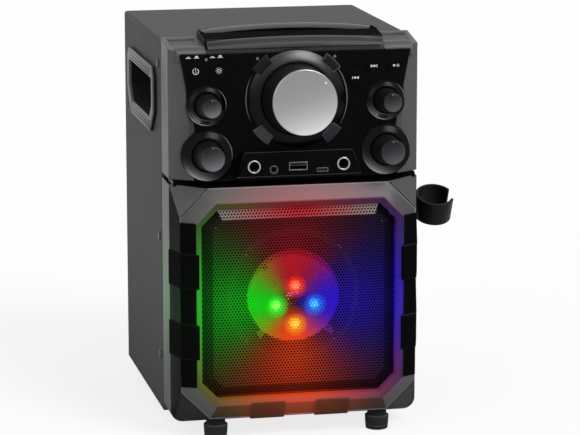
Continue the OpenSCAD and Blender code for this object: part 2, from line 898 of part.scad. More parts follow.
// Depth of the panel at height z, set back by d
function face_y(z, d) = d / cos(lean) - panel_reach + (z - up_z) * tan(lean);

// Side profile of the upper bezel, with walls moved in by t and the front set back by d
function upper_side(t, d) = [
    [t > 0 ? past : 0, up_z + t], [face_y(up_z + t, d), up_z + t], [face_y(up_front_top - t, d), up_front_top - t],
    [-rim_depth, up_front_top + 1 - t], [-2, up_top - t], [t > 0 ? past : 0, up_top - t]
];

// Plan of the upper bezel with its two wings, walls moved in by t
function upper_plan(t) =
    let (hw = cab_w / 2 - t, y = t > 0 ? past : 0, front = panel_reach - recess_in)
    [[-hw, y], [-hw, t / 2 - rim_depth], [wing_x - hw - t / 2, t - front], [wing_x - hw, -panel_reach - 5],
     [hw - wing_x, -panel_reach - 5], [hw - wing_x + t / 2, t - front], [hw, t / 2 - rim_depth], [hw, y]];

// Block with the bezel's side profile and plan
module upper_block(t, d) {
    intersection() {
        side_slab(-cab_w, cab_w) polygon(upper_side(t, d));
        translate([0, 0, up_z - past]) linear_extrude(cab_h) polygon(upper_plan(t));
    }
}

// Butterfly outline of the faceplate, moved in by g
module face_outline(g) {
    hw = face_top_hw - g;
    waist = waist_hw - g;
    polygon([[hw, face_top_s - g], [waist, waist_s], [knob_x, g], [-knob_x, g], [-waist, waist_s], [-hw, face_top_s - g]]);
    for (x = [-knob_x, knob_x]) {
        translate([x, tone_s]) circle(tone_lobe - g);
        translate([x, mic_s]) circle(mic_lobe - g);
    }
}

// Moulded shell round the control panel
module upper_bezel() {
    hw = cab_w / 2;
    bar_r = 7;
    color("#58585d") difference() {
        from_front() union() {
            difference() {
                union() {
                    upper_block(0, recess_in);
                    for (side = [0, 1])
                        mirror([side, 0, 0])
                            translate([0, -rim_depth, up_front_top - bar_r + 3]) bar_x(bar_r, rest_hl, face_top_hw + 2);
                }
                upper_block(wall, face_t + wall);
            }
            bezel_lugs([side_screw_z[2]]);
        }
        on_panel(0, 0) {
            translate([0, 0, -face_t]) linear_extrude(face_t + 20) face_outline(0);
            translate([0, 0, -face_t - wall - 5]) linear_extrude(face_t + wall + 5) face_outline(ledge_w);
        }
        from_front() {
            box(-rest_hl, rest_hl, -rim_depth, past, rest_bottom, up_top + past);
            for (side = [0, 1])
                mirror([side, 0, 0])
                    side_slab(rest_hl + 3, hw - 4) polygon([
                        [9 - rim_depth, up_front_top + 1], [-5, up_top - 2], [-5, up_top + past],
                        [9 - rim_depth, up_top + past]
                    ]);
        }
    }
}

// Butterfly faceplate with collars round the small knobs and the jack plateau
module faceplate() {
    collar_h = 2.4;
    top_w = mic_x + 7.8;
    bottom_w = mic_x + 14.6;
    color("#0b0b0c") on_panel(0, 0) difference() {
        union() {
            difference() {
                translate([0, 0, -face_t]) linear_extrude(face_t) face_outline(0);
                translate([0, 0, -face_t - past]) linear_extrude(face_t - face_skin + past) face_outline(face_side);
            }
            translate([0, 0, -face_skin]) linear_extrude(face_skin + jack_rise)
                polygon([[-bottom_w, jack_s0], [bottom_w, jack_s0], [top_w, jack_s1], [-top_w, jack_s1]]);
            for (i = [0:3])
                translate([small_x[i], small_s[i], 0]) rotate_extrude() polygon([
                    [small_r[i] + skirt + 0.8, -1], [small_lobe[i] - 0.4, -1], [small_lobe[i] - 0.4, 0.4],
                    [small_r[i] + skirt + 2.4, collar_h], [small_r[i] + skirt + 0.8, collar_h]
                ]);
        }
        for (i = [0:3])
            translate([small_x[i], small_s[i], -face_skin - past]) cylinder(h = face_skin + 2 * past, r = bush_r);
        translate([0, master_s, -face_skin - past]) cylinder(h = face_skin + 2 * past, r = bush_r);
        for (i = [0:5])
            translate([button_x[i], button_s[i], -face_skin - past])
                cylinder(h = face_skin + 2 * past, r = button_size[i] + button_gap);
        for (i = [0:2])
            translate([lamp_x[i], lamp_s[i], -face_skin - past]) cylinder(h = face_skin + 2 * past, r = lamp_dot_r);
        for (x = [-mic_x, mic_x])
            translate([x, socket_s, -face_skin - past])
                cylinder(h = face_skin + jack_rise + 2 * past, r = mic_bore_r + socket_wall);
        translate([aux_x, aux_s, -face_skin - past])
            cylinder(h = face_skin + jack_rise + 2 * past, r = aux_bore_r + socket_wall);
        translate([usb_x - usb_w / 2, usb_s - usb_h / 2, -face_skin - past])
            cube([usb_w, usb_h, face_skin + jack_rise + 2 * past]);
        translate([charge_x - charge_w / 2, charge_s - charge_h / 2, -face_skin - past])
            cube([charge_w, charge_h, face_skin + jack_rise + 2 * past]);
    }
}

// Arched rest with a slot that holds a tablet upright
module tablet_rest() {
    arch = (rest_hl * rest_hl + rest_sag * rest_sag) / (2 * rest_sag);
    color("#0e0e0f") from_front() difference() {
        front_slab(0, rim_depth) intersection() {
            translate([-rest_hl, rest_bottom]) square([2 * rest_hl, cab_h + rest_rise - rest_bottom]);
            translate([0, cab_h + rest_rise - arch]) circle(arch, $fn = 720);
        }
        side_slab(-rest_hl - past, rest_hl + past) polygon([
            [-lip_t - slot_w, rest_strip], [-rim_depth - past, rest_strip - 3], [-rim_depth - past, rest_strip + 2 * rest_rise],
            [-lip_t - slot_w, rest_strip + 2 * rest_rise]
        ]);
        box(3 - rest_hl, rest_hl - 3, -lip_t - slot_w, -lip_t, rest_strip - slot_d, rest_strip + 2 * rest_rise);
    }
}

// Arched grey bar in front of the tablet rest
module brow() {
    bar_r = 8;
    hl = rest_hl - 1.5;
    sag = 2.7;
    arch = (hl * hl + sag * sag) / (2 * sag);
    z0 = up_front_top + 1;
    color("#55555a") from_front() intersection() {
        translate([0, -rim_depth, z0 - arch]) rotate([90, 0, 0]) rotate_extrude($fn = 720) translate([arch, 0]) {
            intersection() {
                translate([0, 2]) circle(bar_r, $fn = 48);
                translate([-bar_r, 0]) square([2 * bar_r, bar_r + 2]);
            }
        }
        box(-hl, hl, -rim_depth - bar_r - 2, -rim_depth, z0, z0 + 2 * bar_r);
    }
}

// Raised ring round the master knob with four tabs
module master_ring() {
    r_in = master_r + skirt + 0.8;
    tab = 22;
    color("#1c1c1e") on_panel(0, master_s) {
        rotate_extrude() polygon([[r_in, 0], [ring_r, 0], [ring_r, 0.8], [r_in + 2, ring_h], [r_in, ring_h]]);
        for (a = [45:90:315])
            rotate([0, 0, a - tab / 2]) rotate_extrude(angle = tab)
                translate([ring_r - 4, 0]) square([8.5, 2.2]);
    }
}

// Knob body: a tapered skirt over its shaft bore
module knob_body(cap_r, height, bore_l) {
    difference() {
        translate([0, 0, knob_gap]) cylinder(h = height - cap_t - knob_gap, r1 = cap_r + skirt, r2 = cap_r + 0.7);
        if (bore_l > 0) translate([0, 0, knob_gap - past]) cylinder(h = bore_l + past, r = shaft_r);
    }
}

// Domed cap on a knob, with a small dimple as its pointer
module knob_cap(cap_r, height, turn) {
    translate([0, 0, height - cap_t]) difference() {
        rotate_extrude() polygon([[0, 0], [cap_r, 0], [cap_r, cap_t - 1], [cap_r - 0.8, cap_t - 0.3], [0, cap_t]]);
        rotate([0, 0, turn]) translate([cap_r * 0.85, 0, cap_t - 0.8]) cylinder(h = 1, r = cap_r / 24);
    }
}

module master_knob() {
    color("#141415") on_panel(0, master_s) knob_body(master_r, master_h, 15);
}

module master_cap() {
    color("#b9b9bb") on_panel(0, master_s) knob_cap(master_r, master_h, 45);
}

// Steel shaft from inside the volume control to inside the knob
module master_shaft() {
    color("#a8a8ac") on_panel(0, master_s) translate([0, 0, shaft_s0])
        cylinder(h = knob_gap + 15 - shaft_s0, r = shaft_r);
}

// Small knob with its stem
module small_knob(i) {
    color("#141415") on_panel(small_x[i], small_s[i]) {
        knob_body(small_r[i], knob_h, 0);
        translate([0, 0, shaft_s0]) cylinder(h = knob_gap + 1 - shaft_s0, r = shaft_r);
    }
}

module small_cap(i) {
    color("#7d7a84") on_panel(small_x[i], small_s[i]) knob_cap(small_r[i], knob_h, 90);
}

module echo_knob() {
    small_knob(0);
}

module echo_cap() {
    small_cap(0);
}

module balance_knob() {
    small_knob(1);
}

module balance_cap() {
    small_cap(1);
}

module mic1_knob() {
    small_knob(2);
}

module mic1_cap() {
    small_cap(2);
}

module mic2_knob() {
    small_knob(3);
}

module mic2_cap() {
    small_cap(3);
}

// One rotary control: body on the circuit board, bush through the faceplate
module pot(x, s) {
    on_panel(x, s) difference() {
        union() {
            translate([0, 0, board_s]) cylinder(h = pot_top - board_s, r = pot_r);
            translate([0, 0, board_s]) cylinder(h = -board_s, r = bush_r);
        }
        translate([0, 0, shaft_s0 - 0.4]) cylinder(h = past - shaft_s0, r = shaft_r + fit);
    }
}

module potentiometers() {
    color("#8a8a88") {
        pot(0, master_s);
        for (i = [0:3]) pot(small_x[i], small_s[i]);
    }
}

// Button cap with two ears behind the faceplate and a stem over its switch
module button(i, travel) {
    r = button_size[i];
    ear_s = -face_skin - button_gap;
    color("#131314") on_panel(button_x[i], button_s[i]) {
        translate([0, 0, ear_s]) cylinder(h = button_rise - ear_s, r = r);
        translate([-stem_r, -r - button_flange, ear_s - button_flange_t])
            cube([2 * stem_r, 2 * (r + button_flange), button_flange_t]);
        translate([0, 0, board_s + switch_h + travel + switch_gap])
            cylinder(h = ear_s - board_s - switch_h - travel - switch_gap, r = stem_r);
    }
}

module power_button() {
    button(0, latch_travel);
}

module lights_button() {
    button(1, latch_travel);
}

module source_button() {
    button(2, tap_travel);
}

module previous_button() {
    button(3, tap_travel);
}

module next_button() {
    button(4, tap_travel);
}

module play_button() {
    button(5, tap_travel);
}

// Six switches on the circuit board
module button_switches() {
    color("#2f3033") for (i = [0:5])
        on_panel(button_x[i], button_s[i]) translate([-switch_w / 2, -switch_w / 2, board_s])
            cube([switch_w, switch_w, switch_h]);
}

// Circuit board behind the faceplate
module panel_board() {
    hw = face_top_hw - board_in;
    color("#1f5a34") on_panel(0, 0)
        translate([-hw, board_in, board_s - pcb_t]) cube([2 * hw, face_top_s - 2 * board_in, pcb_t]);
}

// Round socket with a ring on the panel and a bore for a plug
module round_socket(x, s, bore_r, bore_l, ring, ring_t) {
    front = jack_rise + ring_t;
    on_panel(x, s) difference() {
        union() {
            translate([0, 0, board_s]) cylinder(h = front - board_s, r = bore_r + socket_wall);
            translate([0, 0, jack_rise]) cylinder(h = ring_t, r = ring);
        }
        translate([0, 0, front - bore_l]) cylinder(h = bore_l + past, r = bore_r);
    }
}

module mic_socket_left() {
    color("#b5b5b8") round_socket(-mic_x, socket_s, mic_bore_r, mic_bore_l, mic_bore_r + 1.95, ring_out);
}

module mic_socket_right() {
    color("#b5b5b8") round_socket(mic_x, socket_s, mic_bore_r, mic_bore_l, mic_bore_r + 1.95, ring_out);
}

module aux_socket() {
    color("#202022") round_socket(aux_x, aux_s, aux_bore_r, aux_bore_l, aux_bore_r + 1.6, ring_out / 2);
}

// Shell of a flat socket with a contact tongue
module flat_socket(w, h, shell, depth, tongue) {
    difference() {
        translate([-w / 2, -h / 2, board_s]) cube([w, h, jack_rise - board_s]);
        translate([shell - w / 2, shell - h / 2, jack_rise - depth]) cube([w - 2 * shell, h - 2 * shell, depth + past]);
    }
    translate([shell + 0.8 - w / 2, h / 2 - shell - tongue - 0.6, jack_rise - depth])
        cube([w - 2 * shell - 1.6, tongue, depth - 1.5]);
}

module usb_socket() {
    color("#aeb0b4") on_panel(usb_x, usb_s) flat_socket(usb_w, usb_h, 0.7, usb_l, 1.8);
}

module charge_socket() {
    color("#9b9da1") on_panel(charge_x, charge_s) flat_socket(charge_w, charge_h, 0.5, charge_l, 0.7);
}

// Three small lenses above the buttons
module indicator_lights() {
    color("#9aa0a8") for (i = [0:2])
        on_panel(lamp_x[i], lamp_s[i]) translate([0, 0, -face_skin]) cylinder(h = face_skin + 0.4, r = lamp_dot_r);
}

// Places of the two screws that hold the microphone holder
module at_holder_screws() {
    for (z = [side_screw_z[1], side_screw_z[1] + holder_pitch])
        from_front() translate([cab_w / 2 + holder_flange_t, side_screw_y, z]) rotate([0, 90, 0]) children();
}

// Open cup for a microphone on an arm at the right side
module mic_holder() {
    r_out = holder_r + holder_wall;
    x0 = cab_w / 2;
    cup_x = x0 + holder_flange_t + holder_gap + r_out;
    reach = 2 * r_out;
    half = holder_open / 2;
    color("#0a0a0b") difference() {
        from_front() difference() {
            union() {
                box(x0, x0 + holder_flange_t, 2, 2 * side_screw_y - 2, side_screw_z[1] - 7,
                    side_screw_z[1] + holder_pitch + 7);
                box(x0, cup_x - holder_r, holder_y - 5, holder_y + 5, holder_z - 9.5, holder_z - 1.5);
                translate([cup_x, holder_y, holder_z]) rotate([holder_tilt, 0, 0])
                    cylinder(h = holder_l, r1 = r_out - 0.5, r2 = r_out, center = true);
            }
            translate([cup_x, holder_y, holder_z]) rotate([holder_tilt, 0, 0]) {
                translate([0, 0, -holder_l]) cylinder(h = 2 * holder_l, r = holder_r);
                translate([0, 0, -holder_l]) linear_extrude(2 * holder_l)
                    polygon([[0, 0], [reach * cos(half), -reach * sin(half)], [reach * cos(half), reach * sin(half)]]);
            }
        }
        at_holder_screws() translate([0, 0, -holder_flange_t - past])
            cylinder(h = holder_flange_t + 2 * past, r = screw_r);
    }
}

// Two pan head screws; the lower one also enters the bezel's lug
module holder_screws() {
    color("#8a8a8a") for (i = [0, 1])
        from_front()
            translate([cab_w / 2 + holder_flange_t, side_screw_y, side_screw_z[1] + holder_pitch * i]) rotate([0, 90, 0])
                pan_screw(holder_flange_t + board_t - 1 + lug_t * (1 - i));
}

// Rechargeable pack on the cabinet floor
module battery_pack() {
    color("#3f5f8f") from_front() box(-battery_hw, battery_hw, cab_d - battery_gap - battery_d,
        cab_d - battery_gap, board_t, board_t + battery_h);
}

cabinet();
rear_panel();
rear_screws();
handle_cup_left();
handle_cup_right();
feet();
foot_screws();
side_screws();
lower_bezel();
grip_strip_left();
grip_strip_right();
grip_blocks_bottom();
grille();
speaker_plate();
speaker_screws();
woofer_basket();
woofer_magnet();
woofer_surround();
woofer_cone();
dust_cap();
woofer_spider();
light_carrier();
light_red();
light_green();
light_blue();
light_amber();
upper_bezel();
faceplate();
tablet_rest();
brow();
master_ring();
master_knob();
master_cap();
master_shaft();
echo_knob();
echo_cap();
balance_knob();
balance_cap();
mic1_knob();
mic1_cap();
mic2_knob();
mic2_cap();
potentiometers();
power_button();
lights_button();
source_button();
previous_button();
next_button();
play_button();
button_switches();
panel_board();
mic_socket_left();
mic_socket_right();
aux_socket();
usb_socket();
charge_socket();
mic_holder();
holder_screws();
battery_pack();
indicator_lights();
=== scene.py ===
"""Looks of a portable karaoke speaker: finishes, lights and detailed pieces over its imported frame."""
import json
import logging
import math
from dataclasses import dataclass, field
from enum import Enum
from typing import Iterable, Sequence

import bmesh
import bpy
import numpy as np
from mathutils import Matrix, Vector


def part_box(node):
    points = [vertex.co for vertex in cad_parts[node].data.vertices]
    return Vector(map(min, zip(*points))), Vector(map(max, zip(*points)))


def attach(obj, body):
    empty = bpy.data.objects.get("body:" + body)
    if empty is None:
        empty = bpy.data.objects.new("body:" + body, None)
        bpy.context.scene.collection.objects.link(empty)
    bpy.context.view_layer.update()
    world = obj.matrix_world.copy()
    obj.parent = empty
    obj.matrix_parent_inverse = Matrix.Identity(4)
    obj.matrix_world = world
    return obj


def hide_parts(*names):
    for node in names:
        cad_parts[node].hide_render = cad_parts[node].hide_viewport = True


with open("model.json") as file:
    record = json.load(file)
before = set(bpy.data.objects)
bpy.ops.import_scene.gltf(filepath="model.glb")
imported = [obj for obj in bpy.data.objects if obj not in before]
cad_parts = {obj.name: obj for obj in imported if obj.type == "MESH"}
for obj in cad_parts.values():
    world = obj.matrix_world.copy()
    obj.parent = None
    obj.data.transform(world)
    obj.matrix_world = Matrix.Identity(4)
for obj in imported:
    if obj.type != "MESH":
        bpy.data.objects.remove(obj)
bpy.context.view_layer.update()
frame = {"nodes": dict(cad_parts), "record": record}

LOG = logging.getLogger("speaker")
MM = 0.001
Colour = tuple[float, float, float]


class Side(Enum):
    """The two sides of the speaker, as seen from its front."""

    LEFT = -1
    RIGHT = 1


@dataclass(frozen=True)
class Datum:
    """Where the case lies: its front edge and underside, and the leaning control panel, in millimetres."""

    half_w: float
    front_y: float
    base_z: float
    top_z: float
    panel_reach: float = 45.7
    panel_z: float = 192.0
    lean: float = math.radians(3.0)

    @classmethod
    def from_frame(cls) -> "Datum":
        """Reads the case's box from the frame."""
        low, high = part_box("cabinet")
        return cls(high.x / MM, low.y / MM, low.z / MM, high.z / MM)

    def front(self, points: np.ndarray) -> np.ndarray:
        """Moves points given from the case's front edge and underside into the frame."""
        return (np.asarray(points, float) + (0.0, self.front_y, self.base_z)) * MM

    def panel(self, points: np.ndarray) -> np.ndarray:
        """Moves panel points (x across, s up the panel, d off it) into the frame.

        Args:
            points: Points in millimetres, any shape ending in 3.

        Returns:
            The same points in metres in the row's frame.
        """
        x, s, d = np.moveaxis(np.asarray(points, float), -1, 0)
        sin, cos = math.sin(self.lean), math.cos(self.lean)
        y = -self.panel_reach + s * sin - d * cos
        z = self.panel_z + s * cos + d * sin
        return self.front(np.stack([x, y, z], axis=-1))

    def off_panel(self, points: np.ndarray) -> np.ndarray:
        """Gives how far points stand off the control panel."""
        y, z = points[..., 1] + self.panel_reach, points[..., 2] - self.panel_z
        return -y * math.cos(self.lean) + z * math.sin(self.lean)


DATUM = Datum.from_frame()
WOOFER_Z = 96.65
PLATE_DEPTH = 27.0
CONE_R = 36.5
LAMP_RING = 15.2
LAMP_DROP = 6.3
OCTAGON_W = 93.0
OCTAGON_H = 91.05
OCTAGON_CUT = 22.6
TAB_TOP = 2.26
FLAT_DEG = 0.8
ROUNDED_DEG = 24.0
SHARP_DEG = 32.0
COAT_ROUGHNESS = 0.12
GRAIN_DEPTH = 0.4 * MM
TURNING_DEPTH = 0.2 * MM
DUST = (0.42, 0.40, 0.38)
BLACK: Colour = (0.0, 0.0, 0.0)
WHITE = (1.0, 1.0, 1.0, 1.0)
Skin = tuple[np.ndarray, list]


def new_object(name: str, points: np.ndarray, faces: list, smooth_deg: float = 35.0) -> bpy.types.Object:
    """Makes a mesh object at the origin from points and faces, with outward normals and sharp edges by angle.

    Args:
        name: The piece's name.
        points: Vertices in metres, shape (n, 3).
        faces: Vertex numbers of each face.
        smooth_deg: Edges sharper than this stay sharp.

    Returns:
        The new object.
    """
    mesh = bpy.data.meshes.new(name)
    mesh.from_pydata(np.asarray(points, float).reshape(-1, 3).tolist(), [],
                     [list(map(int, f)) for f in faces])
    work = bmesh.new()
    work.from_mesh(mesh)
    bmesh.ops.remove_doubles(work, verts=work.verts, dist=1e-6)
    bmesh.ops.dissolve_degenerate(work, edges=work.edges, dist=1e-7)
    bmesh.ops.recalc_face_normals(work, faces=work.faces)
    work.to_mesh(mesh)
    work.free()
    mesh.shade_smooth()
    mesh.set_sharp_from_angle(angle=math.radians(smooth_deg))
    piece = bpy.data.objects.new(name, mesh)
    bpy.context.scene.collection.objects.link(piece)
    return piece


def loft(rings: np.ndarray, closed: bool = True, capped: bool = False) -> Skin:
    """Joins rings of points into a skin: point (i, j) is vertex i * m + j, and a quad spans two rings.

    Args:
        rings: Points, shape (n, m, 3).
        closed: Whether each ring closes on itself.
        capped: Whether the first and last ring are filled.

    Returns:
        The points, shape (n * m, 3), and the faces.
    """
    n, m = rings.shape[:2]
    i, j = np.meshgrid(np.arange(n - 1), np.arange(m if closed else m - 1), indexing="ij")
    k = (j + 1) % m
    quads = np.stack([i * m + j, i * m + k, (i + 1) * m + k, (i + 1) * m + j], axis=-1)
    quads = quads.reshape(-1, 4).tolist()
    if capped:
        quads += [list(range(m))[::-1], list(range((n - 1) * m, n * m))]
    return rings.reshape(-1, 3), quads


def hoop(rings: np.ndarray) -> Skin:
    """Joins rings into a skin whose last ring meets its first, as round a solid with a hole."""
    return loft(np.concatenate([rings, rings[:1]]))


def turned(profile: Sequence[tuple[float, float]], steps: int = 72) -> np.ndarray:
    """Turns a profile of (radius, height) points round the height axis.

    Args:
        profile: Radius and height of each ring in millimetres.
        steps: Points round each ring.

    Returns:
        Rings of points (r cos a, r sin a, h), shape (n, steps, 3).
    """
    r, h = np.asarray(profile, float).T
    a = np.linspace(0.0, 2 * math.pi, steps, endpoint=False)
    return np.stack([r[:, None] * np.cos(a), r[:, None] * np.sin(a), np.repeat(h[:, None], steps, 1)],
                    axis=-1)


def on_panel(profile: Sequence[tuple[float, float]], steps: int, centre: Sequence[float]) -> np.ndarray:
    """Turns a profile of (radius, height off the panel) round a spot of the control panel."""
    return DATUM.panel(turned(profile, steps) + (*centre, 0.0))


def join(parts: Iterable[Skin]) -> Skin:
    """Puts several skins into one list of points and faces.

    Args:
        parts: Points and faces of each skin.

    Returns:
        All points and all faces, renumbered.
    """
    points, faces, start = [], [], 0
    for p, f in parts:
        points.append(np.asarray(p, float).reshape(-1, 3))
        faces += [[v + start for v in face] for face in f]
        start += len(points[-1])
    return np.concatenate(points), faces


def bevel(piece: bpy.types.Object, width: float, segments: int = 2) -> None:
    """Rounds the edges that a piece marks for it, with a live modifier.

    Args:
        piece: The piece.
        width: Width of the rounding in millimetres.
        segments: Faces across the rounding.
    """
    mod = piece.modifiers.new("edge_rounding", "BEVEL")
    mod.width = width * MM
    mod.segments = segments
    mod.limit_method = "WEIGHT"
    mod.use_clamp_overlap = False
    level = piece.modifiers.new("flat_normals", "WEIGHTED_NORMAL")
    level.keep_sharp = True


def body_of_node(node: str) -> str:
    """Finds the body that a CAD node belongs to.

    Args:
        node: The node's name.

    Returns:
        The body's name.
    """
    for body, nodes in frame["record"]["behaviour"]["bodies"].items():
        if node in nodes:
            return body
    raise KeyError(node)


def fit_piece(piece: bpy.types.Object, material: bpy.types.Material, node: str,
              replace: bool = True) -> bpy.types.Object:
    """Dresses a piece, makes it ride with a CAD node's body and, where asked, stand for that node.

    Args:
        piece: The new piece.
        material: Its finish.
        node: The CAD node that it belongs to.
        replace: Whether the piece hides the node.

    Returns:
        The piece.
    """
    piece.data.materials.clear()
    piece.data.materials.append(material)
    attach(piece, body_of_node(node))
    if replace:
        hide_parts(node)
    LOG.info("%s stands for %s with %d faces", piece.name, node, len(piece.data.polygons))
    return piece


def dress_node(node: str, material: bpy.types.Material) -> None:
    """Gives a CAD node whose shape stays its finish.

    Args:
        node: The node's name.
        material: Its finish.
    """
    target = frame["nodes"][node]
    for held in target.material_slots:
        held.material = material
    if not target.material_slots:
        target.data.materials.append(material)
    LOG.info("%s keeps its CAD shape", node)


def softened_node(node: str, material: bpy.types.Material, width: float, segments: int,
                  least: float) -> bpy.types.Object:
    """Copies a CAD node, merges its triangles into flat faces and rounds its longer sharp edges.

    Args:
        node: The node's name.
        material: Its finish.
        width: Width of the edge rounding in millimetres.
        segments: Faces across the rounding.
        least: Length in millimetres under which an edge stays as it is.

    Returns:
        The copy, which stands for the node.
    """
    mesh = frame["nodes"][node].data.copy()
    work = bmesh.new()
    work.from_mesh(mesh)
    bmesh.ops.remove_doubles(work, verts=work.verts, dist=2e-6)
    bmesh.ops.dissolve_limit(work, angle_limit=math.radians(FLAT_DEG), verts=work.verts, edges=work.edges)
    weight = work.edges.layers.float.new("bevel_weight_edge")
    for edge in work.edges:
        sharp = edge.calc_face_angle(0.0) > math.radians(ROUNDED_DEG)
        edge[weight] = float(sharp and edge.calc_length() > least * MM)
    work.to_mesh(mesh)
    work.free()
    mesh.shade_smooth()
    mesh.set_sharp_from_angle(angle=math.radians(SHARP_DEG))
    piece = bpy.data.objects.new(node + "_soft", mesh)
    bpy.context.scene.collection.objects.link(piece)
    if width:
        bevel(piece, width, segments)
    return fit_piece(piece, material, node)


class Graph:
    """A small writer of shader nodes."""

    def __init__(self, tree: bpy.types.NodeTree) -> None:
        """Keeps the tree that nodes go into."""
        self.tree = tree

    def node(self, kind: str, links: dict | None = None, **values: object) -> bpy.types.Node:
        """Adds a node, sets its attributes and inputs, and links its inputs.

        Args:
            kind: The node's type name.
            links: Output socket for each input name or number.
            values: Attributes of the node.

        Returns:
            The new node.
        """
        made = self.tree.nodes.new(kind)
        for key, value in values.items():
            setattr(made, key, value)
        self.feed(made, links or {})
        return made

    def feed(self, node: bpy.types.Node, links: dict) -> None:
        """Links sockets to a node's inputs, and sets those that get a value.

        Args:
            node: The node.
            links: Output socket or value for each input name or number.
        """
        for key, source in links.items():
            if isinstance(source, bpy.types.NodeSocket):
                self.tree.links.new(source, node.inputs[key])
            else:
                node.inputs[key].default_value = source

    def math(self, operation: str, a: object, b: object = 0.0, c: object = 0.0,
             clamp: bool = False) -> bpy.types.NodeSocket:
        """Adds a Math node."""
        return self.node("ShaderNodeMath", {0: a, 1: b, 2: c}, operation=operation,
                         use_clamp=clamp).outputs[0]

    def vector(self, operation: str, a: object, b: object = (0.0, 0.0, 0.0)) -> bpy.types.Node:
        """Adds a Vector Math node."""
        return self.node("ShaderNodeVectorMath", {0: a, 1: b}, operation=operation)

    def place(self) -> bpy.types.NodeSocket:
        """Adds object coordinates, which are the frame's, because each piece's origin is the frame's."""
        return self.node("ShaderNodeTexCoord").outputs["Object"]

    def flat(self, place: object, spot: object) -> tuple[bpy.types.NodeSocket, bpy.types.NodeSocket]:
        """Adds the way from a spot, seen from the front: place minus spot without its depth.

        Args:
            place: Coordinates.
            spot: The spot.

        Returns:
            The way and its length in metres.
        """
        off = self.vector("SUBTRACT", place, spot).outputs[0]
        flat = self.vector("MULTIPLY", off, (1.0, 0.0, 1.0)).outputs[0]
        return flat, self.vector("LENGTH", flat).outputs["Value"]

    def lamps(self, way: object, sharpness: object, colours: Sequence[Colour],
              top: object = None) -> bpy.types.NodeSocket:
        """Adds the lamps' light: each colour by the cosine to its lamp's heading, raised to a power.

        Args:
            way: Vector off the woofer axis.
            sharpness: The power.
            colours: Colour of each lamp's light.
            top: Share of the red lamp, where it differs from the others.

        Returns:
            The sum of the four colours.
        """
        heading = self.vector("NORMALIZE", way).outputs[0]
        total: bpy.types.NodeSocket | None = None
        for lamp, colour in zip(LAMPS, colours):
            along = self.math("MAXIMUM", self.vector("DOT_PRODUCT", heading, lamp.heading).outputs["Value"],
                              0.0)
            share = self.math("POWER", along, sharpness)
            if top is not None and lamp.heading[2] > 0:
                share = self.math("MULTIPLY", share, top)
            tone = self.blend(share, BLACK, colour)
            total = tone if total is None else self.blend(1.0, total, tone, "ADD")
        return total

    def bump(self, height: object, strength: float, distance: float) -> bpy.types.NodeSocket:
        """Adds a bump of some strength and depth in metres, and gives its normal."""
        links = {"Height": height, "Strength": strength, "Distance": distance}
        return self.node("ShaderNodeBump", links).outputs[0]

    def facing(self, kind: str = "Normal") -> bpy.types.NodeOutputs:
        """Adds the parts of the surface's direction: the Normal, or the True Normal of each flat face."""
        return self.node("ShaderNodeSeparateXYZ",
                         {0: self.node("ShaderNodeNewGeometry").outputs[kind]}).outputs

    def blend(self, factor: object, a: object, b: object, mode: str = "MIX") -> bpy.types.NodeSocket:
        """Adds a colour mix.

        Args:
            factor: Share of the second colour.
            a: First colour or socket.
            b: Second colour or socket.
            mode: The blend mode.

        Returns:
            Its colour output.
        """
        made = self.node("ShaderNodeMix", data_type="RGBA", blend_type=mode)
        for name, source in (("Factor_Float", factor), ("A_Color", a), ("B_Color", b)):
            socket = next(s for s in made.inputs if s.identifier == name)
            if isinstance(source, bpy.types.NodeSocket):
                self.tree.links.new(source, socket)
            else:
                whole = name == "Factor_Float" or len(source) == 4
                socket.default_value = source if whole else (*source, 1.0)
        return next(s for s in made.outputs if s.identifier == "Result_Color")


def new_material(name: str) -> tuple[bpy.types.Material, Graph, bpy.types.Node]:
    """Starts a material.

    Args:
        name: The material's name.

    Returns:
        The material, a writer for its nodes and its main shader.
    """
    material = bpy.data.materials.new(name)
    material.use_nodes = True
    return material, Graph(material.node_tree), material.node_tree.nodes["Principled BSDF"]


def shader_group(name: str, inputs: dict[str, float],
                 outputs: dict[str, str]) -> tuple[bpy.types.NodeTree, Graph]:
    """Starts a shader node group with named inputs and outputs.

    Args:
        name: The group's name.
        inputs: Name and first value of each float input.
        outputs: Name and socket type of each output.

    Returns:
        The group and a writer for it; its Group Input and Output nodes are the first two.
    """
    group = bpy.data.node_groups.new(name, "ShaderNodeTree")
    for label, value in inputs.items():
        group.interface.new_socket(name=label, in_out="INPUT",
                                   socket_type="NodeSocketFloat").default_value = value
    for label, kind in outputs.items():
        group.interface.new_socket(name=label, in_out="OUTPUT", socket_type=kind)
    graph = Graph(group)
    graph.node("NodeGroupInput")
    graph.node("NodeGroupOutput")
    return group, graph


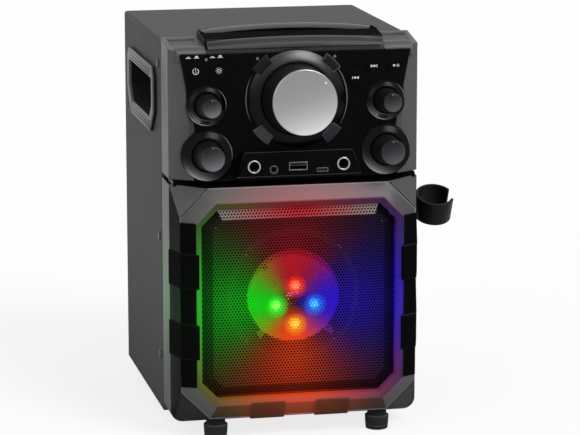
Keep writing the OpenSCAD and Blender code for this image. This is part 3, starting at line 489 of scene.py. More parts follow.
class Effects:
    """Shader groups that several finishes share."""

    def __init__(self) -> None:
        """Builds each group once."""
        self.grain = self._grain()
        self.edge = self._edge()
        self.glow = self._glow()

    @staticmethod
    def _grain() -> bpy.types.NodeTree:
        """Moulded or leather grain: pebbled cells with a finer noise on top.

        Returns:
            The group, with a Height and a Tint output.
        """
        group, g = shader_group("surface_grain",
                                {"Pebble Scale": 900.0, "Noise Scale": 2500.0, "Pebble Share": 0.6},
                                {"Height": "NodeSocketFloat", "Tint": "NodeSocketFloat"})
        entry = group.nodes[0].outputs
        place = g.place()
        cells = g.node("ShaderNodeTexVoronoi", {"Vector": place, "Scale": entry[0]}, feature="SMOOTH_F1")
        fine = g.node("ShaderNodeTexNoise", {"Vector": place, "Scale": entry[1], "Detail": 3.0})
        broad = g.node("ShaderNodeTexNoise", {"Vector": place, "Scale": 14.0, "Detail": 2.0})
        share = g.math("MULTIPLY", cells.outputs["Distance"], entry[2])
        rest = g.math("MULTIPLY", fine.outputs["Fac"], g.math("SUBTRACT", 1.0, entry[2]))
        height = g.math("ADD", share, rest)
        spots = g.math("MULTIPLY", g.math("SUBTRACT", height, 0.42), 1.6)
        mixed = g.math("ADD", g.math("MULTIPLY", broad.outputs["Fac"], 0.9), spots, clamp=True)
        g.feed(group.nodes[1], {0: height, 1: mixed})
        return group

    @staticmethod
    def _edge() -> bpy.types.NodeTree:
        """Edge mask for scuffs and painted edge highlights: where a rounded normal turns away from the true
        one, broken up by noise.

        Returns:
            The group, with a Mask output.
        """
        group, g = shader_group("edge_mask", {"Gain": 6.0}, {"Mask": "NodeSocketFloat"})
        rounded = g.node("ShaderNodeBevel", {"Radius": 0.0009}, samples=4)
        true = g.node("ShaderNodeNewGeometry").outputs["Normal"]
        near = g.vector("DOT_PRODUCT", rounded.outputs[0], true).outputs["Value"]
        away = g.math("SUBTRACT", 1.0, near)
        noise = g.node("ShaderNodeTexNoise", {"Vector": g.place(), "Scale": 160.0})
        edge_wear_and_highlight = g.math("MULTIPLY", away, g.math("ADD", noise.outputs["Fac"], 0.5))
        g.feed(group.nodes[1], {0: g.math("MULTIPLY", edge_wear_and_highlight, group.nodes[0].outputs[0], clamp=True)})
        return group

    @staticmethod
    def _glow() -> bpy.types.NodeTree:
        """Light thrown by the lamps: each colour's share is the cosine to its heading, raised to a power.

        Returns:
            The group, with a Color output that fades from Inner to Outer millimetres off the woofer axis.
        """
        group, g = shader_group("lamp_glow", {"Inner": 30.0, "Outer": 95.0, "Sharpness": 3.0, "Fade": 1.0,
                                              "Across": 0.0, "Up": 0.0, "Top": 1.0},
                                {"Color": "NodeSocketColor"})
        entry = group.nodes[0].outputs
        axis = (0.0, 0.0, (DATUM.base_z + WOOFER_Z) * MM)
        across, up = g.math("MULTIPLY", entry[4], MM), g.math("MULTIPLY", entry[5], MM)
        shift = g.node("ShaderNodeCombineXYZ", {0: across, 2: up}).outputs[0]
        way, reach = g.flat(g.vector("SUBTRACT", g.place(), axis).outputs[0], shift)
        total = g.lamps(way, entry[2], [lamp.throw for lamp in LAMPS], entry[6])
        left = g.math("SUBTRACT", entry[1], g.math("MULTIPLY", reach, 1.0 / MM))
        share = g.math("DIVIDE", left, g.math("SUBTRACT", entry[1], entry[0]), clamp=True)
        g.feed(group.nodes[1], {0: g.blend(g.math("POWER", share, entry[3]), BLACK, total)})
        return group


@dataclass(frozen=True)
class Lamp:
    """One of the four coloured lamps and the light it throws."""

    node: str
    heading: Colour
    core: Colour
    dome: Colour
    throw: Colour
    cast: Colour


LAMPS = (
    Lamp("light_red", (0.0, 0.0, 1.0), (1.0, 0.26, 0.10), (0.95, 0.01, 0.006), (0.42, 0.0, 0.012),
         (0.42, 0.002, 0.006)),
    Lamp("light_green", (-1.0, 0.0, 0.0), (0.30, 1.0, 0.14), (0.01, 0.85, 0.01), (0.0, 0.50, 0.0),
         (0.0, 0.72, 0.0)),
    Lamp("light_blue", (1.0, 0.0, 0.0), (0.06, 0.52, 1.0), (0.01, 0.12, 0.85), (0.02, 0.0, 0.46),
         (0.0, 0.0, 0.60)),
    Lamp("light_amber", (0.0, 0.0, -1.0), (1.0, 0.60, 0.05), (1.0, 0.24, 0.0), (0.74, 0.045, 0.0),
         (0.88, 0.055, 0.0)),
)


@dataclass(frozen=True)
class Finish:
    """A surface finish: its colours, its grain, its scuffed edges with painted edge highlights, the dust on
    it, and the lamps' light painted on it as glow.
    """

    name: str
    dark: Colour
    light: Colour
    roughness: float
    metallic: float = 0.0
    coat: float = 0.0
    pebble: float = 900.0
    noise: float = 2600.0
    share: float = 0.5
    bump: float = 0.15
    edge_wear_and_highlight: Colour = (0.3, 0.3, 0.3)
    edge_gain: float = 0.35
    dust: float = 0.05
    gleam: float = 0.3
    glow: float = 0.0
    glow_span: tuple[float, float] = (68.0, 116.0)
    fade: float = 1.7
    glow_top: float = 1.0

    def build(self, effects: Effects) -> bpy.types.Material:
        """Makes the material from the shared effects.

        Args:
            effects: The shared shader groups.

        Returns:
            The material.
        """
        material, g, shader = new_material(self.name)
        scales = {"Pebble Scale": self.pebble, "Noise Scale": self.noise, "Pebble Share": self.share}
        grain = g.node("ShaderNodeGroup", scales, node_tree=effects.grain)
        edge = g.node("ShaderNodeGroup", {"Gain": 6.0 * self.edge_gain}, node_tree=effects.edge)
        tone = g.blend(grain.outputs["Tint"], self.dark, self.light)
        # Lighter edges: scuffs with a painted edge highlight.
        tone = g.blend(edge.outputs["Mask"], tone, self.edge_wear_and_highlight)
        up = g.math("MAXIMUM", g.facing()["Z"], 0.0)
        settled = g.math("MULTIPLY", up, g.math("MULTIPLY", grain.outputs["Tint"], self.dust))
        tone = g.blend(settled, tone, DUST)
        rough = g.math("MULTIPLY_ADD", grain.outputs["Tint"], 0.16, self.roughness - 0.08, clamp=True)
        bump = g.bump(grain.outputs["Height"], self.bump, GRAIN_DEPTH)
        g.feed(shader, {"Metallic": self.metallic, "Coat Weight": self.coat, "Coat Roughness": COAT_ROUGHNESS,
                        "Specular IOR Level": self.gleam, "Base Color": tone, "Roughness": rough,
                        "Normal": bump})
        # The lamps' light painted on the surface as glow.
        if self.glow:
            span = {"Inner": self.glow_span[0], "Outer": self.glow_span[1], "Fade": self.fade,
                    "Top": self.glow_top}
            glow = g.node("ShaderNodeGroup", span, node_tree=effects.glow)
            g.feed(shader, {"Emission Color": glow.outputs[0], "Emission Strength": self.glow})
        return material


@dataclass(frozen=True)
class LitFinish:
    """A surface that gives light of its own: a lamp's dome, or the pale cone that the lamps light."""

    name: str
    body: Colour
    core: Colour
    edge: Colour
    strength: float
    reach: float
    centre: tuple[float, float, float]

    def build(self, effects: Effects) -> bpy.types.Material:
        """Makes a material whose glow goes from core to edge with distance from the centre.

        Args:
            effects: The shared shader groups; not used here.

        Returns:
            The material.
        """
        material, g, shader = new_material(self.name)
        place = g.place()
        centre = DATUM.front(self.centre).tolist()
        away = g.vector("LENGTH", g.vector("SUBTRACT", place, centre).outputs[0]).outputs["Value"]
        share = g.math("DIVIDE", away, self.reach * MM, clamp=True)
        noise = g.node("ShaderNodeTexNoise", {"Vector": place, "Scale": 700.0})
        soft = g.math("MULTIPLY_ADD", noise.outputs["Fac"], 0.12, g.math("SUBTRACT", share, 0.06), clamp=True)
        g.feed(shader, {"Roughness": 0.25, "Emission Strength": self.strength,
                        "Emission Color": g.blend(soft, self.core, self.edge),
                        "Base Color": g.blend(noise.outputs["Fac"], self.body, self.edge)})
        return material


@dataclass(frozen=True)
class ConeFinish:
    """The pale cone under the four lamps: sectors of their colours that blend at the diagonals."""

    name: str = "lit_cone"
    strength: float = 1.0
    sharpness: float = 3.2

    def build(self, effects: Effects) -> bpy.types.Material:
        """Makes the material: each lamp adds its colour by the cosine to its heading, darker at the middle.

        Args:
            effects: The shared shader groups; not used here.

        Returns:
            The material.
        """
        material, g, shader = new_material(self.name)
        place = g.place()
        way, length = g.flat(place, (0.0, 0.0, (DATUM.base_z + WOOFER_Z - LAMP_DROP) * MM))
        reach = g.math("DIVIDE", length, CONE_R * MM)
        total = g.lamps(way, self.sharpness, [lamp.cast for lamp in LAMPS])
        ring = g.math("POWER", g.math("MULTIPLY", reach, 1.25, clamp=True), 0.7)
        noise = g.node("ShaderNodeTexNoise", {"Vector": place, "Scale": 90.0, "Detail": 3.0})
        uneven = g.math("MULTIPLY", ring, g.math("MULTIPLY_ADD", noise.outputs["Fac"], 0.5, 0.75))
        within = g.math("MULTIPLY", g.math("SUBTRACT", 1.05, reach), 20.0, clamp=True)
        pale = g.blend(noise.outputs["Fac"], (0.05, 0.05, 0.055), (0.09, 0.09, 0.095))
        g.feed(shader, {"Roughness": 0.45, "Specular IOR Level": 0.1, "Emission Strength": self.strength,
                        "Emission Color": g.blend(g.math("MULTIPLY", uneven, within), BLACK, total),
                        "Base Color": g.blend(within, (0.004, 0.004, 0.004), pale)})
        return material


@dataclass(frozen=True)
class SheetFinish:
    """Perforated black sheet in the lamps' light: a bright pool, four halos, weaker wedges of colour and a
    painted highlight on its upper sloping band.
    """

    name: str = "perforated_steel"
    pool: float = 1.0
    wash: float = 0.62
    shift: tuple[float, float] = (-4.8, 4.5)
    halo: float = 9.5
    halo_shift: tuple[float, float] = (-2.8, 2.6)

    def build(self, effects: Effects) -> bpy.types.Material:
        """Makes the material: the pool and the halos lie where the lit parts behind the sheet are seen.

        Args:
            effects: The shared shader groups.

        Returns:
            The material.
        """
        material, g, shader = new_material(self.name)
        grain = g.node("ShaderNodeGroup", node_tree=effects.grain)
        place = g.place()

        def reach(x: float, z: float) -> bpy.types.NodeSocket:
            """Adds the distance in millimetres from a point of the front."""
            spot = (x * MM, 0.0, (DATUM.base_z + WOOFER_Z + z) * MM)
            return g.math("MULTIPLY", g.flat(place, spot)[1], 1.0 / MM)

        def wedges(sharpness: float, inner: float, outer: float, top: float) -> bpy.types.NodeSocket:
            """Adds the lamps' four wedges of colour.

            Args:
                sharpness: Power of the cosine to each lamp's heading.
                inner: Distance at which the light starts to fade.
                outer: Distance at which it is gone.
                top: Share of the red lamp.

            Returns:
                The colour.
            """
            shape = {"Sharpness": sharpness, "Inner": inner, "Outer": outer, "Fade": 1.0, "Top": top,
                     "Across": self.shift[0], "Up": self.shift[1] - LAMP_DROP}
            return g.node("ShaderNodeGroup", shape, node_tree=effects.glow).outputs[0]

        inside = g.math("MULTIPLY", g.math("SUBTRACT", CONE_R + 0.4, reach(*self.shift)), 1.2, clamp=True)
        ahead = g.math("DIVIDE", reach(self.shift[0], self.shift[1] - LAMP_DROP), 15.0, clamp=True)
        bright = g.math("MULTIPLY", inside, g.math("MULTIPLY", g.math("POWER", ahead, 1.3), self.pool))
        pool = g.blend(bright, BLACK, wedges(3.2, 300.0, 600.0, 0.85))
        shaded = g.math("MULTIPLY_ADD", self.slope(g), -0.62, 1.0)
        outside = g.math("MULTIPLY", g.math("MULTIPLY", g.math("SUBTRACT", 1.0, inside), self.wash), shaded)
        lit = g.blend(outside, pool, wedges(4.5, 48.0, 104.0, 0.62), "ADD")
        for lamp in LAMPS:
            x = lamp.heading[0] * LAMP_RING + self.halo_shift[0]
            z = lamp.heading[2] * LAMP_RING + self.halo_shift[1] - LAMP_DROP
            near = g.math("SUBTRACT", 1.0, g.math("DIVIDE", reach(x, z), self.halo, clamp=True))
            tone = g.blend(g.math("POWER", near, 2.5), lamp.dome, lamp.core)
            lit = g.blend(g.math("POWER", g.math("MULTIPLY", near, 1.6, clamp=True), 0.8), lit, tone)
        # Painted highlight on the upper sloping band: the red lamp's light in the middle, grey overhead light
        # at the sides.
        band = g.blend(self.across(g, place), (0.46, 0.008, 0.02), (0.21, 0.19, 0.165))
        tint = grain.outputs["Tint"]
        g.feed(shader, {"Metallic": 0.3, "Specular IOR Level": 0.05, "Emission Strength": 1.0,
                        "Emission Color": g.blend(self.brow(g), lit, band),
                        "Base Color": g.blend(tint, (0.003, 0.003, 0.0034), (0.007, 0.007, 0.0074)),
                        "Roughness": g.math("MULTIPLY_ADD", tint, 0.15, 0.35),
                        "Normal": g.bump(grain.outputs["Height"], 0.06, GRAIN_DEPTH)})
        return material

    def slope(self, g: Graph) -> bpy.types.NodeSocket:
        """Adds a mask of the sloping band round the flat middle: faces that turn away from straight ahead."""
        return g.math("MULTIPLY_ADD", g.facing("True Normal")["Y"], 20.0, 18.6, clamp=True)

    def brow(self, g: Graph) -> bpy.types.NodeSocket:
        """Adds a mask of the upper sloping band, where the painted highlight goes: faces that look forward
        and well upward.

        Args:
            g: The material's graph.

        Returns:
            The mask.
        """
        facing = g.facing("True Normal")
        upward = g.math("MULTIPLY", g.math("SUBTRACT", facing["Z"], 0.40), 20.0, clamp=True)
        forward = g.math("MULTIPLY_ADD", facing["Y"], -10.0, -6.0, clamp=True)
        return g.math("MULTIPLY", upward, forward)

    def across(self, g: Graph, place: bpy.types.NodeSocket) -> bpy.types.NodeSocket:
        """Adds a value that grows from the middle of the front to its sides."""
        side = g.math("ABSOLUTE", g.node("ShaderNodeSeparateXYZ", {0: place}).outputs["X"])
        return g.math("POWER", g.math("MULTIPLY", side, 1.0 / (58.0 * MM), clamp=True), 1.5)


@dataclass(frozen=True)
class SpunHighlightFinish:
    """Turned metal: fine rings round a knob's axis, with a painted highlight: brighter on one side of a soft
    gradient.
    """

    name: str
    dark: Colour
    light: Colour
    centre: tuple[float, float]
    radius: float
    bend: float = 1.8
    highlight_toward: Colour = (0.30, 0.0, -0.95)
    roughness: float = 0.32

    def build(self, effects: Effects) -> bpy.types.Material:
        """Makes the material: noise stretched round the axis gives the turning marks.

        Args:
            effects: The shared shader groups; not used here.

        Returns:
            The material.
        """
        material, g, shader = new_material(self.name)
        flat, length = g.flat(g.place(), DATUM.panel((*self.centre, 20.0)).tolist())
        reach = g.math("DIVIDE", length, self.radius * MM)
        rings = g.node("ShaderNodeTexNoise",
                       {"W": g.math("MULTIPLY", reach, 60.0), "Scale": 3.0, "Detail": 4.0},
                       noise_dimensions="1D")
        # Painted highlight: the tone grows to one side of the axis.
        along = g.vector("DOT_PRODUCT", flat, self.highlight_toward).outputs["Value"]
        slope = g.math("MULTIPLY_ADD", along, 0.5 / (self.radius * MM), 0.5, clamp=True)
        tone = g.blend(g.math("POWER", slope, self.bend), self.dark, self.light)
        grey = g.blend(g.math("MULTIPLY", rings.outputs["Fac"], 0.2), tone, self.dark)
        g.feed(shader, {"Metallic": 0.85, "Base Color": grey,
                        "Roughness": g.math("MULTIPLY_ADD", rings.outputs["Fac"], 0.15,
                                            self.roughness - 0.07),
                        "Normal": g.bump(rings.outputs["Fac"], 0.06, TURNING_DEPTH)})
        return material


FINISHES: dict[str, Finish] = {f.name: f for f in (
    Finish("leather_wrap", (0.034, 0.034, 0.035), (0.064, 0.064, 0.065), 0.55, pebble=640.0, noise=1900.0,
           share=0.8,
           bump=0.6, edge_wear_and_highlight=(0.12, 0.12, 0.125), edge_gain=0.2, dust=0.05, gleam=0.04),
    Finish("rear_board", (0.014, 0.014, 0.015), (0.034, 0.034, 0.036), 0.7, pebble=300.0, share=0.3,
           bump=0.25, edge_gain=0.2,
           gleam=0.15),
    Finish("grey_moulding", (0.039, 0.040, 0.042), (0.064, 0.065, 0.067), 0.42, pebble=1500.0, bump=0.12,
           edge_wear_and_highlight=(0.2, 0.2, 0.21), edge_gain=0.4, gleam=0.3),
    Finish("lit_moulding", (0.036, 0.037, 0.038), (0.058, 0.059, 0.060), 0.40, pebble=1500.0, bump=0.12,
           edge_wear_and_highlight=(0.2, 0.2, 0.21), edge_gain=0.4, gleam=0.25, glow=0.85, glow_top=2.3),
    Finish("side_moulding", (0.003, 0.0036, 0.0032), (0.007, 0.008, 0.0074), 0.42, pebble=1500.0, bump=0.12,
           edge_wear_and_highlight=(0.06, 0.065, 0.06), edge_gain=0.3, gleam=0.02, glow=0.06, glow_span=(80.0, 125.0)),
    # Painted shade on the lower corner facets.
    Finish("facet_moulding", (0.006, 0.006, 0.006), (0.011, 0.011, 0.011), 0.42, pebble=1500.0, bump=0.12,
           edge_wear_and_highlight=(0.08, 0.08, 0.08), edge_gain=0.4, gleam=0.08),
    # Painted shade in the seams and on faces turned down; also the black of the rest's strip.
    Finish("seam_black", (0.002, 0.002, 0.002), (0.004, 0.004, 0.004), 0.6, pebble=1500.0, bump=0.08,
           edge_wear_and_highlight=(0.012, 0.011, 0.010),
           edge_gain=0.3, gleam=0.003, dust=0.003),
    # Painted shade and lamp light on the inner bevel: a darker tone with a glow.
    Finish("inner_moulding", (0.013, 0.013, 0.012), (0.022, 0.022, 0.021), 0.40, pebble=1500.0, bump=0.12,
           edge_wear_and_highlight=(0.06, 0.06, 0.065), edge_gain=0.2, gleam=0.05, dust=0.003, glow=0.95, fade=1.0, glow_top=0.42),
    # Painted shade on faces turned down, with a warm tint and a glow of painted lamp light.
    Finish("slope_moulding", (0.021, 0.018, 0.010), (0.034, 0.028, 0.016), 0.42, pebble=1500.0, bump=0.12,
           edge_wear_and_highlight=(0.1, 0.09, 0.08), edge_gain=0.3, gleam=0.06, glow=0.55),
    Finish("black_moulding", (0.0035, 0.0035, 0.004), (0.009, 0.009, 0.0095), 0.36, pebble=1300.0, bump=0.12,
           edge_wear_and_highlight=(0.04, 0.04, 0.043), edge_gain=0.25, gleam=0.08, dust=0.015),
    Finish("cup_moulding", (0.010, 0.010, 0.011), (0.020, 0.020, 0.021), 0.36, pebble=1300.0, bump=0.12,
           edge_wear_and_highlight=(0.06, 0.06, 0.063), edge_gain=0.3, dust=0.02, gleam=0.42),
    # Painted shade in the upper bezel's top troughs, and a painted highlight along the plateau's edge.
    Finish("dark_moulding", (0.020, 0.020, 0.021), (0.034, 0.034, 0.036), 0.42, pebble=1300.0, bump=0.12,
           edge_wear_and_highlight=(0.12, 0.12, 0.125), edge_gain=0.5, gleam=0.25),
    Finish("gloss_black", (0.0011, 0.0011, 0.0013), (0.0024, 0.0024, 0.0027), 0.2, pebble=2200.0, bump=0.03,
           edge_wear_and_highlight=(0.025, 0.025, 0.027), edge_gain=0.2, dust=0.005, gleam=0.025),
    Finish("grip_rubber", (0.0008, 0.0008, 0.0009), (0.0020, 0.0020, 0.0021), 0.6, pebble=1900.0, bump=0.3,
           edge_wear_and_highlight=(0.02, 0.021, 0.02), edge_gain=0.35, gleam=0.012, dust=0.01, glow=0.008),
    Finish("foot_rubber", (0.005, 0.005, 0.0055), (0.014, 0.014, 0.015), 0.7, pebble=1200.0, bump=0.35,
           dust=0.2,
           edge_wear_and_highlight=(0.05, 0.05, 0.05), gleam=0.15),
    # Painted amber lamp light: a warm tint and a glow.
    Finish("warm_rubber", (0.014, 0.012, 0.007), (0.024, 0.020, 0.011), 0.55, pebble=1900.0, bump=0.25,
           gleam=0.05,
           glow=0.26),
    Finish("basket_steel", (0.03, 0.03, 0.032), (0.06, 0.06, 0.064), 0.5, metallic=0.4, pebble=700.0,
           bump=0.2),
    Finish("magnet_ferrite", (0.03, 0.03, 0.033), (0.075, 0.075, 0.08), 0.6, pebble=400.0, bump=0.3),
    Finish("spider_cloth", (0.20, 0.12, 0.05), (0.34, 0.22, 0.11), 0.9, pebble=2600.0, bump=0.5),
    Finish("chrome_dome", (0.70, 0.70, 0.72), (0.84, 0.84, 0.86), 0.14, metallic=1.0, pebble=300.0,
           bump=0.02, dust=0.02),
    Finish("bright_steel", (0.36, 0.36, 0.37), (0.52, 0.52, 0.53), 0.3, metallic=0.9, pebble=1800.0,
           bump=0.08),
    Finish("dark_steel", (0.03, 0.03, 0.032), (0.06, 0.06, 0.064), 0.35, metallic=0.6, pebble=1800.0,
           bump=0.1),
    Finish("socket_nickel", (0.30, 0.30, 0.31), (0.46, 0.46, 0.47), 0.26, metallic=0.9, pebble=1600.0,
           bump=0.05),
    Finish("port_steel", (0.09, 0.09, 0.095), (0.16, 0.16, 0.165), 0.35, metallic=0.8, pebble=1600.0,
           bump=0.05),
    Finish("brow_moulding", (0.010, 0.010, 0.0105), (0.017, 0.017, 0.0175), 0.40, pebble=1300.0, bump=0.12,
           edge_wear_and_highlight=(0.09, 0.09, 0.093), edge_gain=0.4, gleam=0.22),
    # Painted highlight along the top of the rest's lip.
    Finish("lip_moulding", (0.10, 0.10, 0.102), (0.145, 0.145, 0.148), 0.42, pebble=1300.0, bump=0.1,
           gleam=0.25),
    Finish("white_ink", (0.45, 0.45, 0.46), (0.60, 0.60, 0.61), 0.55, pebble=2000.0, bump=0.05, edge_gain=0.0),
    # Painted highlights along rims and edges of the panel.
    Finish("grey_ink", (0.07, 0.07, 0.074), (0.13, 0.13, 0.135), 0.5, pebble=2000.0, bump=0.05, edge_gain=0.0),
    Finish("tab_grey", (0.030, 0.030, 0.033), (0.046, 0.046, 0.049), 0.38, pebble=1500.0, bump=0.08,
           gleam=0.2),
    Finish("tab_violet", (0.008, 0.0075, 0.016), (0.014, 0.013, 0.026), 0.38, pebble=1500.0, bump=0.08,
           gleam=0.15),
    Finish("clear_lens", (0.05, 0.055, 0.06), (0.12, 0.125, 0.14), 0.15, coat=0.3, pebble=1500.0, bump=0.03),
    Finish("green_board", (0.006, 0.05, 0.018), (0.012, 0.09, 0.03), 0.4, pebble=900.0, bump=0.1),
    Finish("battery_wrap", (0.02, 0.07, 0.2), (0.035, 0.11, 0.28), 0.3, coat=0.3, pebble=500.0, bump=0.06),
    Finish("switch_plastic", (0.010, 0.010, 0.011), (0.022, 0.022, 0.024), 0.4, pebble=1500.0, bump=0.1,
           gleam=0.1),
    # Painted shade inside hollows, socket bores, ports and gaps.
    Finish("socket_dark", (0.003, 0.003, 0.0033), (0.007, 0.007, 0.0074), 0.4, pebble=1500.0, bump=0.05,
           gleam=0.03),
)}


@dataclass
class Workshop:
    """Holds the finished materials and hands them out by name."""

    effects: Effects = field(default_factory=Effects)
    made: dict[str, bpy.types.Material] = field(default_factory=dict)

    def finish(self, wanted: str | LitFinish | ConeFinish | SpunHighlightFinish | SheetFinish) -> bpy.types.Material:
        """Gives a finish, made on its first use.

        Args:
            wanted: A name in FINISHES, or a finish of its own kind.

        Returns:
            The material.
        """
        finish = FINISHES[wanted] if isinstance(wanted, str) else wanted
        if finish.name not in self.made:
            self.made[finish.name] = finish.build(self.effects)
        return self.made[finish.name]

    def piece(self, name: str, skin: Skin, wanted: object, node: str, smooth_deg: float = 35.0,
              replace: bool = True) -> bpy.types.Object:
        """Makes a skin into a dressed piece that rides with a CAD node's body."""
        return fit_piece(new_object(name, *skin, smooth_deg), self.finish(wanted), node, replace)


def paint(piece: bpy.types.Object, material: bpy.types.Material, chosen: np.ndarray) -> None:
    """Gives some of a piece's faces a second finish.

    Args:
        piece: The piece.
        material: The second finish.
        chosen: Whether each face takes it.
    """
    piece.data.materials.append(material)
    index = np.where(chosen, len(piece.data.materials) - 1, 0).astype(np.int32)
    held = np.zeros(len(piece.data.polygons), np.int32)
    piece.data.polygons.foreach_get("material_index", held)
    piece.data.polygons.foreach_set("material_index", np.where(chosen, index, held).astype(np.int32))


def face_table(piece: bpy.types.Object) -> tuple[np.ndarray, np.ndarray]:
    """Reads the centre and normal of each face.

    Args:
        piece: The piece.

    Returns:
        Centres in millimetres from the case's front edge and underside, and unit normals.
    """
    count = len(piece.data.polygons)
    centre, normal = np.zeros(count * 3), np.zeros(count * 3)
    piece.data.polygons.foreach_get("center", centre)
    piece.data.polygons.foreach_get("normal", normal)
    return centre.reshape(-1, 3) / MM - (0.0, DATUM.front_y, DATUM.base_z), normal.reshape(-1, 3)


def eased(corners: np.ndarray, radius: float, steps: int = 5) -> np.ndarray:
    """Rounds a closed outline: each corner becomes the curve (1-t)^2 a + 2t(1-t) p + t^2 b at its sides.

    Args:
        corners: Corner points, shape (n, 2).
        radius: Distance from a corner to a and b, or 0.45 of the shorter side where that is less.
        steps: Points on each corner.

    Returns:
        Points, shape (n * steps, 2).
    """
    back, ahead = np.roll(corners, 1, 0) - corners, np.roll(corners, -1, 0) - corners
    reach_a, reach_b = np.linalg.norm(back, axis=1), np.linalg.norm(ahead, axis=1)
    cut = np.minimum(radius, 0.45 * np.minimum(reach_a, reach_b))
    a = (corners + back * (cut / reach_a)[:, None])[:, None]
    b = (corners + ahead * (cut / reach_b)[:, None])[:, None]
    t = np.linspace(0.0, 1.0, steps)[None, :, None]
    return ((1 - t) ** 2 * a + 2 * t * (1 - t) * corners[:, None] + t ** 2 * b).reshape(-1, 2)


def frame_on(axis: Sequence[float], up: Sequence[float]) -> np.ndarray:
    """Gives the turning matrix whose third column is the axis and whose second lies along up.

    Args:
        axis: Direction of local height.
        up: Direction of local y.

    Returns:
        A 3 by 3 matrix with local axes as columns.
    """
    w = np.asarray(axis, float) / np.linalg.norm(axis)
    v = np.asarray(up, float) - np.dot(up, w) * w
    v /= np.linalg.norm(v)
    return np.stack([np.cross(v, w), v, w], axis=1)


@dataclass
class ScrewSet:
    """Cross-headed screws with their heads on a face of the case."""

    node: str
    places: Sequence[tuple[float, float, float]]
    axes: Sequence[tuple[float, float, float]]
    finish: str
    head_r: float = 3.4
    head_h: float = 1.6
    shank_r: float = 1.7
    shank_l: float = 12.0
    sunk: bool = False

    def head(self) -> Skin:
        """Makes one screw: a turned profile whose top sinks by 0.8 mm inside a cross.

        Returns:
            Points in local millimetres and faces.
        """
        top = 0.0 if self.sunk else self.head_h
        low = top - self.head_h
        side = [(0.001, -self.shank_l), (self.shank_r, -self.shank_l), (self.shank_r, low),
                (self.head_r, low),
                (self.head_r, top - 0.5)]
        turn = np.linspace(0.3, 1.45, 9)
        crown = [(self.head_r * math.cos(t), top - 0.5 + 0.5 * math.sin(t)) for t in turn]
        rows = side + crown + [(0.3, top)]
        rings = turned(rows, 32)
        x, y, h = rings[5:, :, 0], rings[5:, :, 1], rings[5:, :, 2]
        reach = np.hypot(x, y)
        arm = np.minimum(np.abs(x), np.abs(y))
        rings[5:, :, 2] = h - np.where((arm < 0.55) & (reach < self.head_r * 0.62), 0.8, 0.0)
        return loft(rings, capped=True)

    def build(self, shop: Workshop) -> None:
        """Makes the screws as one piece that stands for the CAD node.

        Args:
            shop: The finishes.
        """
        local, faces = self.head()
        parts = []
        for place, axis in zip(self.places, self.axes):
            turn = frame_on(axis, (0.3, 0.5, 1.0) if abs(axis[2]) < 0.9 else (0.0, 1.0, 0.2))
            parts.append((DATUM.front(local @ turn.T + np.asarray(place)), faces))
        shop.piece(self.node + "_heads", join(parts), self.finish, self.node)


@dataclass
class HandCup:
    """A hand cup: an eight-sided hollow behind a flange with three ribs above and three below it."""

    side: Side
    half_l: float = 54.0
    half_h: float = 16.0
    cut: float = 12.0
    flange: float = 10.5
    proud: float = 3.5
    wall: float = 2.5
    depth: float = 34.0
    y: float = 82.0
    drop: float = 51.0

    def place(self, points: np.ndarray) -> np.ndarray:
        """Moves points (out of the side, back, up) to the cup's side of the case.

        Args:
            points: Points in millimetres from the cup's middle.

        Returns:
            Points in metres in the row's frame.
        """
        z = DATUM.top_z - DATUM.base_z - self.drop
        out = (DATUM.half_w + points[..., 0]) * self.side.value
        return DATUM.front(np.stack([out, points[..., 1] + self.y, points[..., 2] + z], -1))

    def ring(self, grow: float, out: float, radius: float) -> np.ndarray:
        """Gives one ring of the cup: its eight-sided outline grown by a distance, with rounded corners.

        Args:
            grow: Growth of the outline.
            out: Distance out of the side.
            radius: Rounding of the corners.

        Returns:
            Points (out, back, up), shape (n, 3).
        """
        l, h = self.half_l + grow, self.half_h + grow
        b, t = self.cut + grow * (2 - math.sqrt(2)), 1.0 + grow * (2 - math.sqrt(2))
        right = [(l - b, -h), (l, b - h), (l, h - t), (l - t, h)]
        corners = np.array([(b - l, -h), *right, (t - l, h), (-l, h - t), (-l, b - h)])
        flat = eased(corners, radius)
        return np.column_stack([np.full(len(flat), out), flat])

    def shell(self) -> Skin:
        """Lofts the cup through its rings, from the hollow's back round the flange to the hollow's floor.

        Returns:
            Points in metres and faces.
        """
        f, p, w, d = self.flange, self.proud, self.wall, self.depth
        rows = [(w, -d, 1.0), (w, 0.0, 1.0), (f, 0.0, 3.0), (f, p - 1.1, 3.0), (f - 0.3, p - 0.35, 3.0),
                (f - 1.0, p, 2.8),
                (1.9, p, 1.6), (1.0, p - 0.3, 1.4), (0.3, p - 1.0, 1.2), (0.0, p - 2.0, 1.2),
                (0.0, w - d + 1.2, 1.2),
                (-0.4, w - d + 0.3, 1.2), (-1.4, w - d, 1.2)]
        return loft(self.place(np.stack([self.ring(*row) for row in rows])), capped=True)

    def ribs(self) -> list[Skin]:
        """Makes the ribs: a rounded section 1.2 mm wide, carried along the flange and lowered at both ends.

        Returns:
            Points in metres and faces of each rib.
        """
        turn = np.linspace(0.0, math.pi, 9)
        section = np.stack([0.8 * np.sin(turn) ** 0.7, 0.6 * np.cos(turn)], -1)
        reach = np.array([-48.0, -47.7, -47.0, 47.0, 47.7, 48.0])
        rise = np.array([0.05, 0.7, 1.0, 1.0, 0.7, 0.05])
        made = []
        for k in range(6):
            z = math.copysign(26.5 - (k % 3 + 1) * self.flange / 4, k - 2.5)
            out = self.proud - 0.3 + (section[None, :, 0] + 0.3) * rise[:, None]
            rings = np.stack([out, np.repeat(reach[:, None], 9, 1),
                              np.repeat(section[None, :, 1] + z, 6, 0)], -1)
            made.append(loft(self.place(rings), capped=True))
        return made

    def build(self, shop: Workshop) -> None:
        """Makes and dresses the cup, with painted shade inside its hollow.

        Args:
            shop: The finishes.
        """
        node = "handle_cup_" + self.side.name.lower()
        piece = shop.piece(node + "_lofted", join([self.shell(), *self.ribs()]), "cup_moulding", node, 40.0)
        centre, _ = face_table(piece)
        # Painted shade inside the hollow.
        paint(piece, shop.finish("socket_dark"), np.abs(centre[:, 0]) < DATUM.half_w + 1.4)


